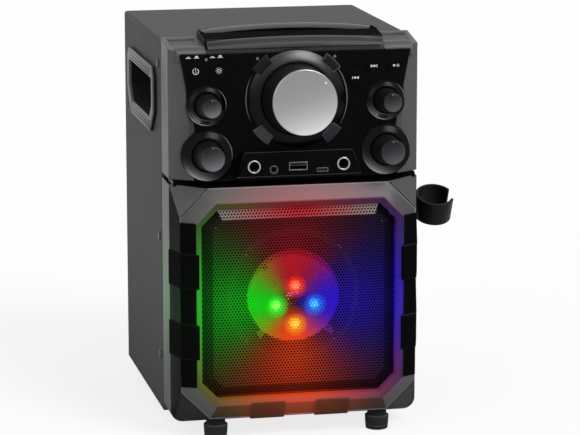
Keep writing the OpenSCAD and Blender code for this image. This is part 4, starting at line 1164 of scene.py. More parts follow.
@dataclass
class Case:
    """The wrapped wooden case with its rear panel, hand cups, feet and screws."""

    side_y: float = 10.0
    side_z: tuple[float, ...] = (44.0, 140.0, 276.0)
    holder_z: tuple[float, ...] = (140.0, 162.0)
    rear_x: float = 83.0
    rear_depth: float = 179.0
    rear_z: tuple[float, ...] = (21.0, 148.0, 275.0)
    foot_x: float = 64.5
    foot_y: tuple[float, ...] = (-43.0, 159.0)
    foot_r: float = 9.5
    foot_h: float = 11.0
    foot_screw_up: float = 7.0

    def foot_points(self) -> Skin:
        """Makes one foot, in local millimetres: a turned profile with rounded sole, two grooves and a bore.

        Returns:
            Points and faces.
        """
        r, h = self.foot_r, self.foot_h
        profile = [(4.4, 7.0), (4.4, 0.4), (4.8, 0.0), (6.0, 0.0), (6.2, 0.5), (6.8, 0.5), (7.0, 0.0),
                   (r - 1.7, 0.0),
                   (r - 1.0, 0.25), (r - 0.75, 0.9), (r - 0.55, 3.0), (r - 0.9, 3.3), (r - 0.85, 3.8),
                   (r - 0.45, 4.1),
                   (r - 0.1, h - 0.4), (r - 0.4, h), (1.75, h), (1.75, 7.0)]
        return hoop(turned(profile, 64))

    def build(self, shop: Workshop) -> None:
        """Makes and dresses the case's pieces.

        Args:
            shop: The finishes.
        """
        softened_node("cabinet", shop.finish("leather_wrap"), 2.2, 3, 30.0)
        softened_node("rear_panel", shop.finish("rear_board"), 0.6, 2, 20.0)
        softened_node("battery_pack", shop.finish("battery_wrap"), 2.5, 4, 5.0)
        for side in Side:
            HandCup(side).build(shop)
        points, faces = self.foot_points()
        spots = [(x, y) for x in (-self.foot_x, self.foot_x) for y in self.foot_y]
        feet = [(DATUM.front(points + (*spot, -self.foot_h)), faces) for spot in spots]
        shop.piece("feet_turned", join(feet), "foot_rubber", "feet")
        w = DATUM.half_w
        sides = [(-w, self.side_y, z) for z in self.side_z] + [(w, self.side_y, z) for z in self.side_z[::2]]
        ScrewSet("side_screws", sides, [(math.copysign(1.0, p[0]), 0.0, 0.0) for p in sides],
                 "dark_steel").build(shop)
        held = [(w + 3.0, self.side_y, z) for z in self.holder_z]
        ScrewSet("holder_screws", held, [(1.0, 0.0, 0.0)] * 2, "bright_steel").build(shop)
        rear = [(x, self.rear_depth, z) for x in (-self.rear_x, self.rear_x) for z in self.rear_z]
        ScrewSet("rear_screws", rear, [(0.0, 1.0, 0.0)] * 6, "dark_steel", sunk=True).build(shop)
        under = [(*spot, -self.foot_h + self.foot_screw_up) for spot in spots]
        ScrewSet("foot_screws", under, [(0.0, 0.0, -1.0)] * 4, "bright_steel").build(shop)


def octagon_inset(x: np.ndarray, z: np.ndarray) -> np.ndarray:
    """Works out how far points lie inside the frame's outer octagon: the least distance to its eight sides.

    Args:
        x: Places across, in millimetres.
        z: Heights above the case's underside, in millimetres.

    Returns:
        The inset of each point.
    """
    ax, az = np.abs(x), np.abs(z - WOOFER_Z)
    corner = (OCTAGON_W + OCTAGON_H - OCTAGON_CUT - ax - az) / math.sqrt(2.0)
    return np.minimum(np.minimum(OCTAGON_W - ax, OCTAGON_H - az), corner)


@dataclass
class LowerFront:
    """The lower bezel with its grips, and the perforated grille."""

    pitch: float = 2.44
    hole_r: float = 0.76
    sheet: float = 0.7
    seat: float = 47.0
    rise: float = 5.0
    edge_inset: float = 16.75
    band: float = 9.0
    ledge: float = 50.75
    ledge_top: float = 186.0
    inner_band: tuple[float, float] = (11.4, 17.5)
    inner_depth: float = 46.0
    front_depth: float = 20.0
    foot_x: float = 64.5
    foot_y: float = 43.0
    boss_r: float = 8.5
    boss_depth: float = 34.0

    def grille_depth(self, x: np.ndarray, z: np.ndarray) -> np.ndarray:
        """Gives the sheet's depth: it rises evenly over the sloping band and is flat inside it."""
        share = (octagon_inset(x, z) - self.edge_inset) / self.band
        return self.seat + self.rise * np.clip(share, 0.0, 1.0)

    def grille(self) -> Skin:
        """Makes the sheet: a lattice of six-sided cells, each with a round hole whose wall runs back into it.

        Returns:
            Points in metres and faces.
        """
        row = self.pitch * math.sqrt(3.0) / 2.0
        i, j = np.meshgrid(np.arange(-34, 35), np.arange(-40, 41), indexing="ij")
        cx = (i + 0.5 * (np.abs(j) % 2)) * self.pitch
        cz = WOOFER_Z + j * row
        keep = octagon_inset(cx, cz) > self.edge_inset + 0.1
        cx, cz = cx[keep], cz[keep]
        corner = np.radians(np.arange(6) * 60.0 + 90.0)
        hx = cx[:, None] + self.pitch / math.sqrt(3.0) * np.cos(corner)
        hz = cz[:, None] + self.pitch / math.sqrt(3.0) * np.sin(corner)
        inset = octagon_inset(hx, hz)
        holed = inset.min(axis=1) > self.edge_inset + 0.15
        turn = np.radians(np.arange(12) * 30.0 + 90.0)
        ox = cx[holed, None] + self.hole_r * np.cos(turn)
        oz = cz[holed, None] + self.hole_r * np.sin(turn)
        depth = self.grille_depth(ox, oz)
        cells = int(holed.sum())
        outer = np.stack([hx[holed], -self.grille_depth(hx[holed], hz[holed]), hz[holed]], -1).reshape(-1, 3)
        front = np.stack([ox, -depth, oz], -1).reshape(-1, 3)
        back = np.stack([ox, -depth + self.sheet, oz], -1).reshape(-1, 3)
        base = np.arange(cells)[:, None]
        k = np.arange(6)
        hexa, hole = base * 6 + k, cells * 6 + base * 12
        following = base * 6 + (k + 1) % 6
        a, b, c = hole + 2 * k, hole + 2 * k + 1, hole + (2 * k + 2) % 12
        faces = np.stack([hexa, a, b], -1).reshape(-1, 3).tolist()
        faces += np.stack([hexa, b, following], -1).reshape(-1, 3).tolist()
        faces += np.stack([following, b, c], -1).reshape(-1, 3).tolist()
        m = np.arange(12)
        wall = hole + m
        nxt = hole + (m + 1) % 12
        faces += np.stack([wall, wall + cells * 12, nxt + cells * 12, nxt], -1).reshape(-1, 4).tolist()
        start = cells * 30
        rest_x, rest_z = hx[~holed], hz[~holed]
        plain = np.stack([rest_x, -self.grille_depth(rest_x, rest_z), rest_z], -1).reshape(-1, 3)
        faces += (start + np.arange(len(rest_x))[:, None] * 6 + k).tolist()
        return DATUM.front(np.concatenate([outer, front, back, plain])), faces

    def gaps(self) -> list[Skin]:
        """Makes painted shadow lines in the gaps between frame and upper corner facets: low four-sided dark
        bars on the ledge.

        Returns:
            Points in metres and faces of each bar.
        """
        section = np.array([(-0.45, 0.0), (-0.45, 0.3), (0.95, 0.3), (0.95, 0.0)])
        ends = np.array([(OCTAGON_W - OCTAGON_CUT + 0.8, OCTAGON_H - 0.1),
                         (OCTAGON_W - 0.1, OCTAGON_H - OCTAGON_CUT + 0.8)])
        inward = np.array([-1.0, -1.0]) / math.sqrt(2.0)
        made = []
        for side in Side:
            flat = ends[:, None] + section[None, :, :1] * inward
            depth = np.broadcast_to(-self.ledge - section[None, :, 1], flat.shape[:2])
            rings = np.stack([flat[..., 0] * side.value, depth, flat[..., 1] + WOOFER_Z], -1)
            made.append(loft(DATUM.front(rings), capped=True))
        return made

    def build(self, shop: Workshop) -> None:
        """Makes and dresses the lower front.

        Args:
            shop: The finishes.
        """
        bezel = softened_node("lower_bezel", shop.finish("lit_moulding"), 0.9, 3, 5.0)
        centre, normal = face_table(bezel)
        x, depth, z = np.abs(centre[:, 0]), -centre[:, 1], centre[:, 2]
        nx, ny, nz = np.abs(normal[:, 0]), normal[:, 1], normal[:, 2]
        inset = octagon_inset(x, z)
        ahead = depth > self.front_depth
        inner = (inset > self.inner_band[0]) & (inset < self.inner_band[1]) & (depth > self.inner_depth)
        step = (z > self.ledge_top + 0.5) & (depth < 49.0) & (nx < 0.9)
        foot = np.hypot(x - self.foot_x, depth - self.foot_y)
        # Painted shade and lamp light by facing: darker tones on the inner bevel, on faces turned down and on
        # the lower corner facets, black in the seam gaps, and glow of the lamps' light on the inner bevel and
        # faces turned down; the side chamfers are darker and the foot bosses take the feet's rubber.
        for name, faces in (("inner_moulding", inner),
                            ("slope_moulding", (nz < -0.3) & (nx < 0.3) & ahead & ~inner),
                            ("facet_moulding", (inset < -0.4) & (z < 40.0) & (ny < -0.2) & ahead),
                            ("side_moulding", (x > 93.2) & (nx > 0.5) & (ny < -0.1)),
                            ("seam_black", step | (nz > 0.9) & (z > self.ledge_top)),
                            ("foot_rubber", (foot < self.boss_r) & (z < 12.0) & (depth > self.boss_depth))):
            paint(bezel, shop.finish(name), faces)
        for side in Side:
            softened_node("grip_strip_" + side.name.lower(), shop.finish("grip_rubber"), 0.7, 3, 1.1)
        # The bottom grip blocks carry painted amber lamp light: a warm tint and a glow.
        softened_node("grip_blocks_bottom", shop.finish("warm_rubber"), 0.6, 3, 1.1)
        # Painted shadow: dark bars along the gaps between frame and upper corner facets.
        shop.piece("corner_gaps", join(self.gaps()), "socket_dark", "lower_bezel", 20.0, replace=False)
        shop.piece("grille_sheet", self.grille(), SheetFinish(), "grille", 50.0)


@dataclass
class Woofer:
    """The driver behind the grille and the ring of lamps in front of its cone."""

    coil_r: float = 13.0
    cone_d: float = 13.6
    flange: float = 2.5
    lamp_r: float = 4.0
    lamp_f: float = 6.5

    def on_axis(self, local: np.ndarray, x: float = 0.0, z: float = 0.0) -> np.ndarray:
        """Places turned points (across, up, forward of the speaker plate) on the woofer axis."""
        along, up, ahead = np.moveaxis(local, -1, 0)
        return DATUM.front(np.stack([along + x, -PLATE_DEPTH - ahead, up + z + WOOFER_Z], -1))

    def cone(self) -> Skin:
        """Makes the cone: radius falls evenly with depth, with a shallow rib every 4 mm, and a wall behind.

        Returns:
            Points in metres and faces.
        """
        share = np.linspace(0.0, 1.0, 46)
        r = CONE_R + share * (self.coil_r - CONE_R)
        front = self.flange + 0.8 - share * self.cone_d + 0.18 * np.cos(share * 2 * math.pi * 6.0)
        former = [(self.coil_r - 0.5, self.flange - self.cone_d), (self.coil_r - 0.5, -26.0),
                  (self.coil_r, -26.0)]
        back = [(self.coil_r, self.flange - self.cone_d - 0.1), (CONE_R, self.flange)]
        rings = turned(list(zip(r, front)) + former + back, 96)
        return hoop(self.on_axis(rings))

    def dome(self) -> Skin:
        """Makes the bright dome: a ball segment 12.5 mm in radius and 5 mm high over a short skirt.

        Returns:
            Points in metres and faces.
        """
        r, h = self.coil_r - 0.5, 5.0
        ball = (r * r + h * h) / (2 * h)
        reach = np.linspace(r, 0.05, 22)
        height = np.sqrt(ball * ball - reach * reach) - (ball - h)
        base = self.flange - self.cone_d + 0.8
        rings = turned([(a, b + base) for a, b in [(r - 0.7, -0.02), *zip(reach, height)]], 64)
        return loft(self.on_axis(rings), capped=True)

    def lamp(self) -> np.ndarray:
        """Makes one lamp's rings: a barrel, a collar and a ball-shaped front.

        Returns:
            Rings in local millimetres.
        """
        r, f = self.lamp_r, self.lamp_f
        ball = [(r * math.cos(t), f + 1.5 + r * math.sin(t)) for t in np.linspace(0.0, 1.54, 12)]
        return turned([(0.05, f - 1.5), (r - 0.5, f - 1.5), (r - 0.5, f), (r - 0.15, f),
                       (r, f + 0.15)] + ball, 40)

    def build(self, shop: Workshop) -> None:
        """Makes and dresses the woofer's pieces.

        Args:
            shop: The finishes.
        """
        for node, name in (("woofer_surround", "grip_rubber"), ("woofer_spider", "spider_cloth"),
                           ("woofer_basket", "basket_steel"), ("woofer_magnet", "magnet_ferrite"),
                           ("speaker_screws", "bright_steel")):
            dress_node(node, shop.finish(name))
        softened_node("speaker_plate", shop.finish("black_moulding"), 0.6, 2, 5.0)
        # The carrier takes the cone's painted lamp light.
        softened_node("light_carrier", shop.finish(ConeFinish()), 0.25, 2, 1.4)
        shop.piece("cone_turned", self.cone(), ConeFinish(), "woofer_cone", 40.0)
        shop.piece("dome_turned", self.dome(), "chrome_dome", "dust_cap", 40.0)
        rings = self.lamp()
        for lamp in LAMPS:
            x, z = lamp.heading[0] * LAMP_RING, lamp.heading[2] * LAMP_RING - LAMP_DROP
            skin = loft(self.on_axis(rings, x, z), capped=True)
            centre = (x, -PLATE_DEPTH - self.lamp_f - 1.5 - self.lamp_r, z + WOOFER_Z)
            glow = LitFinish(lamp.node + "_lit", lamp.dome, lamp.core, lamp.dome, 2.2, 5.0, centre)
            shop.piece(lamp.node + "_dome", skin, glow, lamp.node)


def strip(path: np.ndarray, width: float | np.ndarray, lift: float, closed: bool = False) -> Skin:
    """Makes a printed line: a path on the panel widened to both sides by half its width.

    Args:
        path: Panel points (x, s) in millimetres.
        width: Width of the line, or its width at each point.
        lift: Height off the panel.
        closed: Whether the path returns to its start.

    Returns:
        Points in metres and faces.
    """
    before = np.roll(path, 1, 0) if closed else np.concatenate([path[:1], path[:-1]])
    after = np.roll(path, -1, 0) if closed else np.concatenate([path[1:], path[-1:]])
    along = after - before
    along /= np.maximum(np.linalg.norm(along, axis=1, keepdims=True), 1e-9)
    across = np.stack([-along[:, 1], along[:, 0]], -1) * np.broadcast_to(width, len(path))[:, None] / 2
    edges = np.stack([path + across, path - across])
    panel = DATUM.panel(np.concatenate([edges, np.full(edges.shape[:2] + (1,), lift)], -1))
    points, faces = loft(panel, closed=closed)
    return points, [f[::-1] for f in faces]


def arc(centre: tuple[float, float], radius: float, start: float, end: float, steps: int = 48) -> np.ndarray:
    """Gives points on an arc of the panel."""
    a = np.radians(np.linspace(start, end, steps))
    return np.stack([centre[0] + radius * np.cos(a), centre[1] + radius * np.sin(a)], -1)


def patch(outline: Sequence[tuple[float, float]], lift: float) -> Skin:
    """Makes a printed solid shape on the panel."""
    flat = np.asarray([(x, s, lift) for x, s in outline], float)
    return DATUM.panel(flat), [list(range(len(flat)))]


class Mark(Enum):
    """Symbols printed on the buttons."""

    POWER = "power"
    LIGHT = "light"
    PREVIOUS = "previous"
    NEXT = "next"
    PLAY = "play"

    def shapes(self, centre: tuple[float, float], lift: float) -> list[Skin]:
        """Draws the symbol.

        Args:
            centre: The button's centre (x, s).
            lift: Height off the panel.

        Returns:
            Points and faces of each stroke.
        """
        cx, cs = centre

        def arrow(x: float, way: float, size: float = 1.15) -> Skin:
            """Draws an arrow head."""
            tip = [(cx + x - way * size, cs - size), (cx + x + way * size, cs),
                   (cx + x - way * size, cs + size)]
            return patch(tip if way > 0 else tip[::-1], lift)

        def bar(x: float, half: float = 1.15) -> Skin:
            """Draws an upright bar."""
            return strip(np.array([(cx + x, cs - half), (cx + x, cs + half)]), 0.45, lift)

        if self is Mark.POWER:
            stem = strip(np.array([(cx, cs), (cx, cs + 2.7)]), 0.5, lift)
            return [strip(arc(centre, 2.2, 120, 420), 0.5, lift), bar(0.0, 1.2), stem]
        if self is Mark.LIGHT:
            headings = [np.array([math.cos(a), math.sin(a)]) for a in np.radians(np.arange(0, 360, 45))]
            rays = [strip(np.array([centre + 1.7 * way, centre + 2.6 * way]), 0.4, lift) for way in headings]
            return [strip(arc(centre, 1.05, 0, 360, 25)[:-1], 0.4, lift, True), *rays]
        if self is Mark.PREVIOUS:
            return [bar(-2.7), arrow(-1.2, -1.0), arrow(1.1, -1.0)]
        if self is Mark.NEXT:
            return [arrow(-1.1, 1.0), arrow(1.2, 1.0), bar(2.7)]
        return [arrow(-1.3, 1.0), bar(0.8), bar(2.0)]


@dataclass
class Knob:
    """One rotary knob: its body with fine flutes, its cap and the pointer on it."""

    node: str
    cap_node: str
    centre: tuple[float, float]
    cap_r: float
    height: float
    skirt: float = 2.2
    cap_t: float = 2.6
    flutes: int = 60
    depth: float = 0.25

    def place(self, rings: np.ndarray) -> np.ndarray:
        """Places turned points on the knob's axis."""
        return DATUM.panel(rings + (*self.centre, 0.0))

    def body(self) -> Skin:
        """Makes the body: a taper whose radius dips by a rounded cosine flute round its side.

        Returns:
            Points in metres and faces.
        """
        r0, r1, top = self.cap_r + self.skirt, self.cap_r + 0.7, self.height - self.cap_t
        profile = [(0.05, 0.6), (r0 - 0.5, 0.6), (r0, 1.1), (r0 - 0.02, 2.4), (r0 - 0.25, 2.7),
                   (r0 - 0.35, 3.4)]
        taper = np.linspace(0.1, 1.0, 7)
        profile += [(r0 - 0.35 + (r1 - r0 + 0.2) * t, 3.4 + (top - 4.0) * t) for t in taper]
        profile += [(r1 - 0.4, top), (0.05, top)]
        rings = turned(profile, self.flutes * 6)
        fluted = np.zeros(len(profile))
        fluted[6:12] = self.depth
        wave = 0.5 - 0.5 * np.cos(np.linspace(0.0, 2 * math.pi * self.flutes, self.flutes * 6,
                                              endpoint=False))
        reach = np.hypot(rings[..., 0], rings[..., 1])
        rings[..., :2] *= ((reach - fluted[:, None] * wave) / reach)[..., None]
        return loft(self.place(rings), capped=True)

    def cap(self) -> Skin:
        """Makes the cap: a flat with a bright bevelled rim, slightly dished in the middle.

        Returns:
            Points in metres and faces.
        """
        r, h = self.cap_r, self.height
        profile = [(0.05, h - self.cap_t), (r - 0.05, h - self.cap_t), (r, h - self.cap_t + 0.15),
                   (r, h - 0.95),
                   (r - 0.15, h - 0.65), (r - 0.7, h - 0.32), (r - 1.0, h - 0.3), (r - 1.5, h - 0.34)]
        profile += [((r - 1.5) * t, h - 0.34 - 0.3 * (1 - t * t)) for t in np.linspace(0.95, 0.01, 14)]
        return loft(self.place(turned(profile, 120)), capped=True)

    def build(self, shop: Workshop, cap_finish: bpy.types.Material, pointer: float | None) -> None:
        """Makes and dresses the knob.

        Args:
            shop: The finishes.
            cap_finish: The cap's finish.
            pointer: Angle of the white dot on the cap, or None for a small dot near its top.
        """
        shop.piece(self.node + "_fluted", self.body(), "black_moulding", self.node, 30.0)
        fit_piece(new_object(self.cap_node + "_spun", *self.cap(), 25.0), cap_finish, self.cap_node)
        if pointer is None:
            spot, size, lift = (self.centre[0], self.centre[1] + self.cap_r - 1.3), 0.28, self.height - 0.3
        else:
            a, reach = math.radians(pointer), self.cap_r * 0.86
            spot = (self.centre[0] + reach * math.cos(a), self.centre[1] + reach * math.sin(a))
            size, lift = 0.95, self.height - 0.34
        mark = patch(arc(spot, size, 0, 360, 21)[:-1].tolist(), lift)
        shop.piece(self.cap_node + "_pointer", mark, "white_ink", self.cap_node, replace=False)


@dataclass
class UpperFront:
    """The upper bezel, its butterfly faceplate and everything on the panel."""

    master: tuple[float, float] = (0.0, 61.2)
    master_r: float = 25.1
    ring_r: float = 37.5
    buttons: tuple[tuple[str, Mark | None, float, float, float], ...] = (
        ("power_button", Mark.POWER, -78.3, 84.5, 6.7), ("lights_button", Mark.LIGHT, -60.3, 84.6, 5.95),
        ("source_button", None, -46.4, 76.0, 5.95), ("previous_button", Mark.PREVIOUS, 46.4, 76.0, 5.95),
        ("next_button", Mark.NEXT, 60.3, 84.6, 5.95), ("play_button", Mark.PLAY, 78.3, 84.5, 6.7))
    small: tuple[tuple[float, float, float], ...] = ((-70.0, 58.0, 15.5), (70.0, 58.0, 15.5),
                                                     (-70.0, 19.8, 19.6), (70.0, 19.8, 19.6))
    tabs: tuple[tuple[int, str], ...] = ((45, "black_moulding"), (135, "black_moulding"),
                                         (225, "tab_grey"), (315, "tab_violet"))
    rise: float = 1.6
    collar_gap: float = 2.9
    plateau: float = 6.0
    rest_half: float = 69.8
    rest_sag: float = 4.37
    rest_top: float = 306.7
    lenses: tuple[tuple[float, float], ...] = ((-69.8, 93.1), (-30.2, 92.7), (30.2, 92.7))

    def ring(self) -> Skin:
        """Makes the raised ring round the master knob: a turned profile with a soft crest.

        Returns:
            Points in metres and faces.
        """
        r0, r1 = self.master_r + 3.0, self.ring_r
        profile = [(r0, 0.0), (r1, 0.0), (r1, 0.5), (r1 - 0.4, 0.95), (r0 + 3.0, 2.7), (r0 + 2.0, 3.1),
                   (r0 + 1.2, 3.2),
                   (r0 + 0.3, 3.15), (r0, 2.8)]
        return hoop(on_panel(profile, 144, self.master))

    def tab(self, angle: float) -> Skin:
        """Makes one tab of the ring: a low rounded block carried along 22 degrees of arc.

        Args:
            angle: Its middle in degrees.

        Returns:
            Points in metres and faces.
        """
        section = [(33.4, 0.0), (42.0, 0.0), (42.0, 1.5), (41.7, 1.95), (41.1, 2.2), (34.3, 2.2),
                   (33.6, 2.0), (33.4, 1.5)]
        turn = np.radians(angle + np.linspace(-11.0, 11.0, 17))
        r, h = np.array(section).T
        pinch = 1.0 - 0.25 * (np.abs(np.linspace(-1.0, 1.0, 17)) > 0.999)[:, None] * (h > 1.9)
        rings = np.stack([r * np.cos(turn)[:, None], r * np.sin(turn)[:, None], h * pinch], -1)
        return loft(DATUM.panel(rings + (*self.master, 0.0)), capped=True)

    def button(self, centre: tuple[float, float], radius: float) -> Skin:
        """Makes one button: a turned cap with a rounded rim and a dish 0.25 mm deep.

        Args:
            centre: Its centre (x, s).
            radius: Its radius.

        Returns:
            Points in metres and faces.
        """
        r, h = radius, self.rise
        profile = [(0.05, -2.8), (r, -2.8), (r, h - 0.55), (r - 0.08, h - 0.3), (r - 0.28, h - 0.08),
                   (r - 0.6, h), (r - 1.0, h - 0.02)]
        profile += [((r - 1.0) * t, h - 0.02 - 0.25 * (1 - t * t)) for t in np.linspace(0.9, 0.01, 9)]
        return loft(on_panel(profile, 72, centre), capped=True)

    def socket(self, centre: tuple[float, float], bore: float, ring: float, length: float) -> Skin:
        """Makes a round socket: a rounded ring on the plateau and a bore with a contact step.

        Args:
            centre: Its centre (x, s).
            bore: Bore radius.
            ring: Outer radius of the ring.
            length: Depth of the bore.

        Returns:
            Points in metres and faces.
        """
        p = self.plateau
        profile = [(bore + 1.35, -11.0), (bore + 1.35, p), (ring, p), (ring, p + 0.45),
                   (ring - 0.2, p + 0.7), (ring - 0.5, p + 0.8),
                   (bore + 0.95, p + 0.8), (bore + 0.8, p + 0.7), (bore, p - 0.3), (bore, p - length * 0.35),
                   (bore - 0.25, p - length * 0.37), (bore - 0.25, p - length * 0.5),
                   (bore, p - length * 0.52),
                   (bore, p + 0.8 - length), (0.05, p + 0.8 - length), (0.05, -11.0)]
        return hoop(on_panel(profile, 72, centre))

    def collar(self, centre: tuple[float, float], inner: float, outer: float) -> Skin:
        """Makes one collar's glossy skin: a turned dish between a low rim and the raised lip round the knob.

        Args:
            centre: Its centre (x, s).
            inner: Radius of the opening.
            outer: Radius of the rim.

        Returns:
            Points in metres and faces.
        """
        wide = outer - inner
        share = np.linspace(0.0, 1.0, 9)
        dish = [(outer - 1.0 - (wide - 2.4) * t, 0.83 + 1.82 * t) for t in share]
        profile = [(inner, 0.1), (outer, 0.1), (outer, 0.5), (outer - 0.35, 0.85), *dish,
                   (inner + 0.6, 2.75), (inner + 0.1, 2.6),
                   (inner, 2.3)]
        return hoop(on_panel(profile, 120, centre))

    def lip(self) -> Skin:
        """Makes the bead on the rest's lip: a rounded section carried along the lip's circular top edge.

        Returns:
            Points in metres and faces.
        """
        x = np.linspace(-self.rest_half, self.rest_half, 61)[:, None]
        radius = (self.rest_half ** 2 + self.rest_sag ** 2) / (2 * self.rest_sag)
        top = self.rest_top - radius + np.sqrt(radius ** 2 - x ** 2)
        section = np.array([(2.8, -4.1), (3.2, -4.0), (3.4, -3.5), (3.45, -2.0), (3.4, -0.7), (3.2, -0.25),
                            (2.8, -0.15)])
        wide = np.broadcast_to(x, (61, 7))
        return loft(DATUM.front(np.stack([wide, -np.broadcast_to(section[:, 0], (61, 7)),
                                          top + section[:, 1]], -1)),
                    capped=True)

    def printed(self, shop: Workshop) -> None:
        """Lays the painted highlights (arcs by the master ring and the small knobs, a line along the
        plateau's edge and one along the upper right tab's edge) and prints the latch signs on the faceplate.

        Args:
            shop: The finishes.
        """
        c = self.master
        # Painted highlights: thin light arcs on the rims round the master ring and the small knobs.
        light = [strip(arc(c, 39.6, 152, 205), 0.6 * np.sin(np.linspace(0.15, 3.0, 48)), 0.06),
                 strip(arc(c, 39.6, -31, 52), 0.8 * np.sin(np.linspace(0.15, 3.0, 48)), 0.06)]
        for x, s, r in self.small:
            light.append(strip(arc((x, s), r - 0.55, -14, 58), 0.7 * np.sin(np.linspace(0.1, 3.04, 48)),
                               0.92))
        shop.piece("panel_light_arcs", join(light), "grey_ink", "faceplate", replace=False)
        signs = []
        for x, rise in ((-83.6, 0.5), (-77.2, 1.1), (-65.0, 0.5), (-59.0, 1.1)):
            signs.append(patch([(x - 2.0, 94.3), (x + 2.0, 94.3), (x + 2.0, 94.8), (x - 2.0, 94.8)], 0.08))
            signs.append(patch([(x - 1.1, 95.1), (x + 1.1, 95.1), (x + 1.1, 95.1 + rise),
                                (x - 1.1, 95.1 + rise)], 0.08))
        shop.piece("latch_signs", join(signs), "white_ink", "faceplate", replace=False)
        # Painted highlight: a light line along the plateau's edge.
        inner = [(-48.6, 2.9), (48.6, 2.9), (42.2, 21.5), (-42.2, 21.5)]
        line = strip(np.array(inner, float), 0.3, self.plateau + 0.05, True)
        shop.piece("plateau_edge_line", line, "dark_moulding", "faceplate", replace=False)
        # Painted highlight: a light line along the upper right tab's edge.
        edge = np.concatenate([arc(c, 41.3, 35, 55, 12), arc(c, 34.3, 55, 35, 12)])
        outline = strip(edge, 0.35, TAB_TOP, True)
        shop.piece("tab_outline", outline, "grey_ink", "master_ring", replace=False)

    def build(self, shop: Workshop) -> None:
        """Makes and dresses the upper front.

        Args:
            shop: The finishes.
        """
        bezel = softened_node("upper_bezel", shop.finish("grey_moulding"), 1.0, 3, 3.0)
        centre, normal = face_table(bezel)
        (x, y, z), nz = centre.T, normal[:, 2]
        # Painted shade: the seam and the faces below the faceplate that turn down or forward are black.
        paint(bezel, shop.finish("seam_black"), (z < 196.5) & (nz < 0.3) & (np.abs(x) < DATUM.half_w - 0.5))
        # Painted shade: the upward faces of the top troughs beside the rest are darker.
        paint(bezel, shop.finish("dark_moulding"),
              (z > 290.0) & (nz > 0.9) & (np.abs(x) < 84.0) & (y > -27.0))
        softened_node("faceplate", shop.finish("gloss_black"), 0.0, 1, 1e6)
        for (x, s, r), knob_r in zip(self.small, (7.15, 7.15, 9.35, 9.35)):
            spot = "%d_%d" % (x + 70, s)
            # Painted highlight: each collar's dish is lighter in a crescent at its lower left.
            dish = SpunHighlightFinish("dish_" + spot, (0.0022, 0.0022, 0.0025), (0.30, 0.30, 0.30), (x, s), r, 14.0,
                              (-0.45, 0.0, -0.89), 0.2)
            collar = self.collar((x, s), knob_r + self.collar_gap, r)
            shop.piece("collar_" + spot, collar, dish, "faceplate", 30.0, replace=False)
        rest = softened_node("tablet_rest", shop.finish("black_moulding"), 0.8, 3, 2.0)
        x, y, _ = face_table(rest)[0].T
        paint(rest, shop.finish("seam_black"), (y < -2.0) & (y > -32.0) & (np.abs(x) < self.rest_half + 0.1))
        # Painted highlight: the bead along the lip's top edge is a lighter grey.
        shop.piece("rest_lip", self.lip(), "lip_moulding", "tablet_rest", 40.0, replace=False)
        softened_node("brow", shop.finish("brow_moulding"), 0.5, 2, 2.5)
        # Painted highlight: the ring is lighter at its top.
        crest = SpunHighlightFinish("ring_crest", (0.0035, 0.0035, 0.0038), (0.075, 0.075, 0.076), self.master,
                           self.ring_r, 6.0, (0.06, 0.0, 1.0))
        shop.piece("ring_turned", self.ring(), crest, "master_ring", 40.0)
        for angle, name in self.tabs:
            shop.piece("ring_tab_%d" % angle, self.tab(angle), name, "master_ring", replace=False)
        for node, mark, x, s, r in self.buttons:
            shop.piece(node + "_cap", self.button((x, s), r), "gloss_black", node, 25.0)
            if mark:
                symbol = join(mark.shapes((x, s), self.rise - 0.1))
                shop.piece(node + "_mark", symbol, "white_ink", node, replace=False)
        for side in Side:
            name = "mic_socket_" + side.name.lower()
            points = self.socket((side.value * 35.0, 10.6), 3.2, 5.15, 16.0)
            socket = shop.piece(name + "_turned", points, "socket_nickel", name, 40.0)
            # Painted shade in the socket's bore and the chamfer into it.
            paint(socket, shop.finish("socket_dark"),
                  DATUM.off_panel(face_table(socket)[0]) < self.plateau + 0.3)
        aux = self.socket((-19.7, 7.9), 1.8, 3.4, 14.0)
        shop.piece("aux_socket_turned", aux, "dark_steel", "aux_socket", 40.0)
        for node, width in (("usb_socket", 0.2), ("charge_socket", 0.15)):
            port = softened_node(node, shop.finish("port_steel"), width, 2, 2.5)
            # Painted shade inside the port.
            paint(port, shop.finish("socket_dark"), DATUM.off_panel(face_table(port)[0]) < self.plateau)
        dress_node("potentiometers", shop.finish("dark_steel"))
        dress_node("master_shaft", shop.finish("bright_steel"))
        softened_node("panel_board", shop.finish("green_board"), 0.2, 1, 5.0)
        softened_node("button_switches", shop.finish("switch_plastic"), 0.3, 2, 3.0)
        lens = [(1.15, -2.4), (1.15, 0.1), (1.0, 0.32), (0.6, 0.42), (0.05, 0.45)]
        lenses = [loft(on_panel(lens, 28, spot), capped=True) for spot in self.lenses]
        shop.piece("lenses_turned", join(lenses), "clear_lens", "indicator_lights")
        self.printed(shop)
        # Painted highlight: the master cap's silver is lighter at its bottom.
        silver = SpunHighlightFinish("master_silver", (0.26, 0.26, 0.265), (0.74, 0.74, 0.75), self.master,
                            self.master_r, 3.0)
        knob = Knob("master_knob", "master_cap", self.master, self.master_r, 31.0, flutes=90)
        knob.build(shop, shop.finish(silver), 42.0)
        for name, centre, r in (("echo", (-70.0, 58.0), 7.15), ("balance", (70.0, 58.0), 7.15),
                                ("mic1", (-70.0, 19.8), 9.35), ("mic2", (70.0, 19.8), 9.35)):
            # Painted highlight: each small cap is lighter at its bottom, the left ones more than the right.
            light = (0.19, 0.185, 0.20) if centre[0] < 0 else (0.10, 0.10, 0.108)
            small = SpunHighlightFinish(name + "_silver", (0.014, 0.014, 0.016), light, centre, r)
            knob = Knob(name + "_knob", name + "_cap", centre, r, 24.0, flutes=36, depth=0.2)
            knob.build(shop, shop.finish(small), None)


@dataclass
class MicrophoneHolder:
    """The open cup for a microphone on its arm."""

    def build(self, shop: Workshop) -> None:
        """Makes and dresses the holder."""
        softened_node("mic_holder", shop.finish("black_moulding"), 0.5, 3, 0.8)


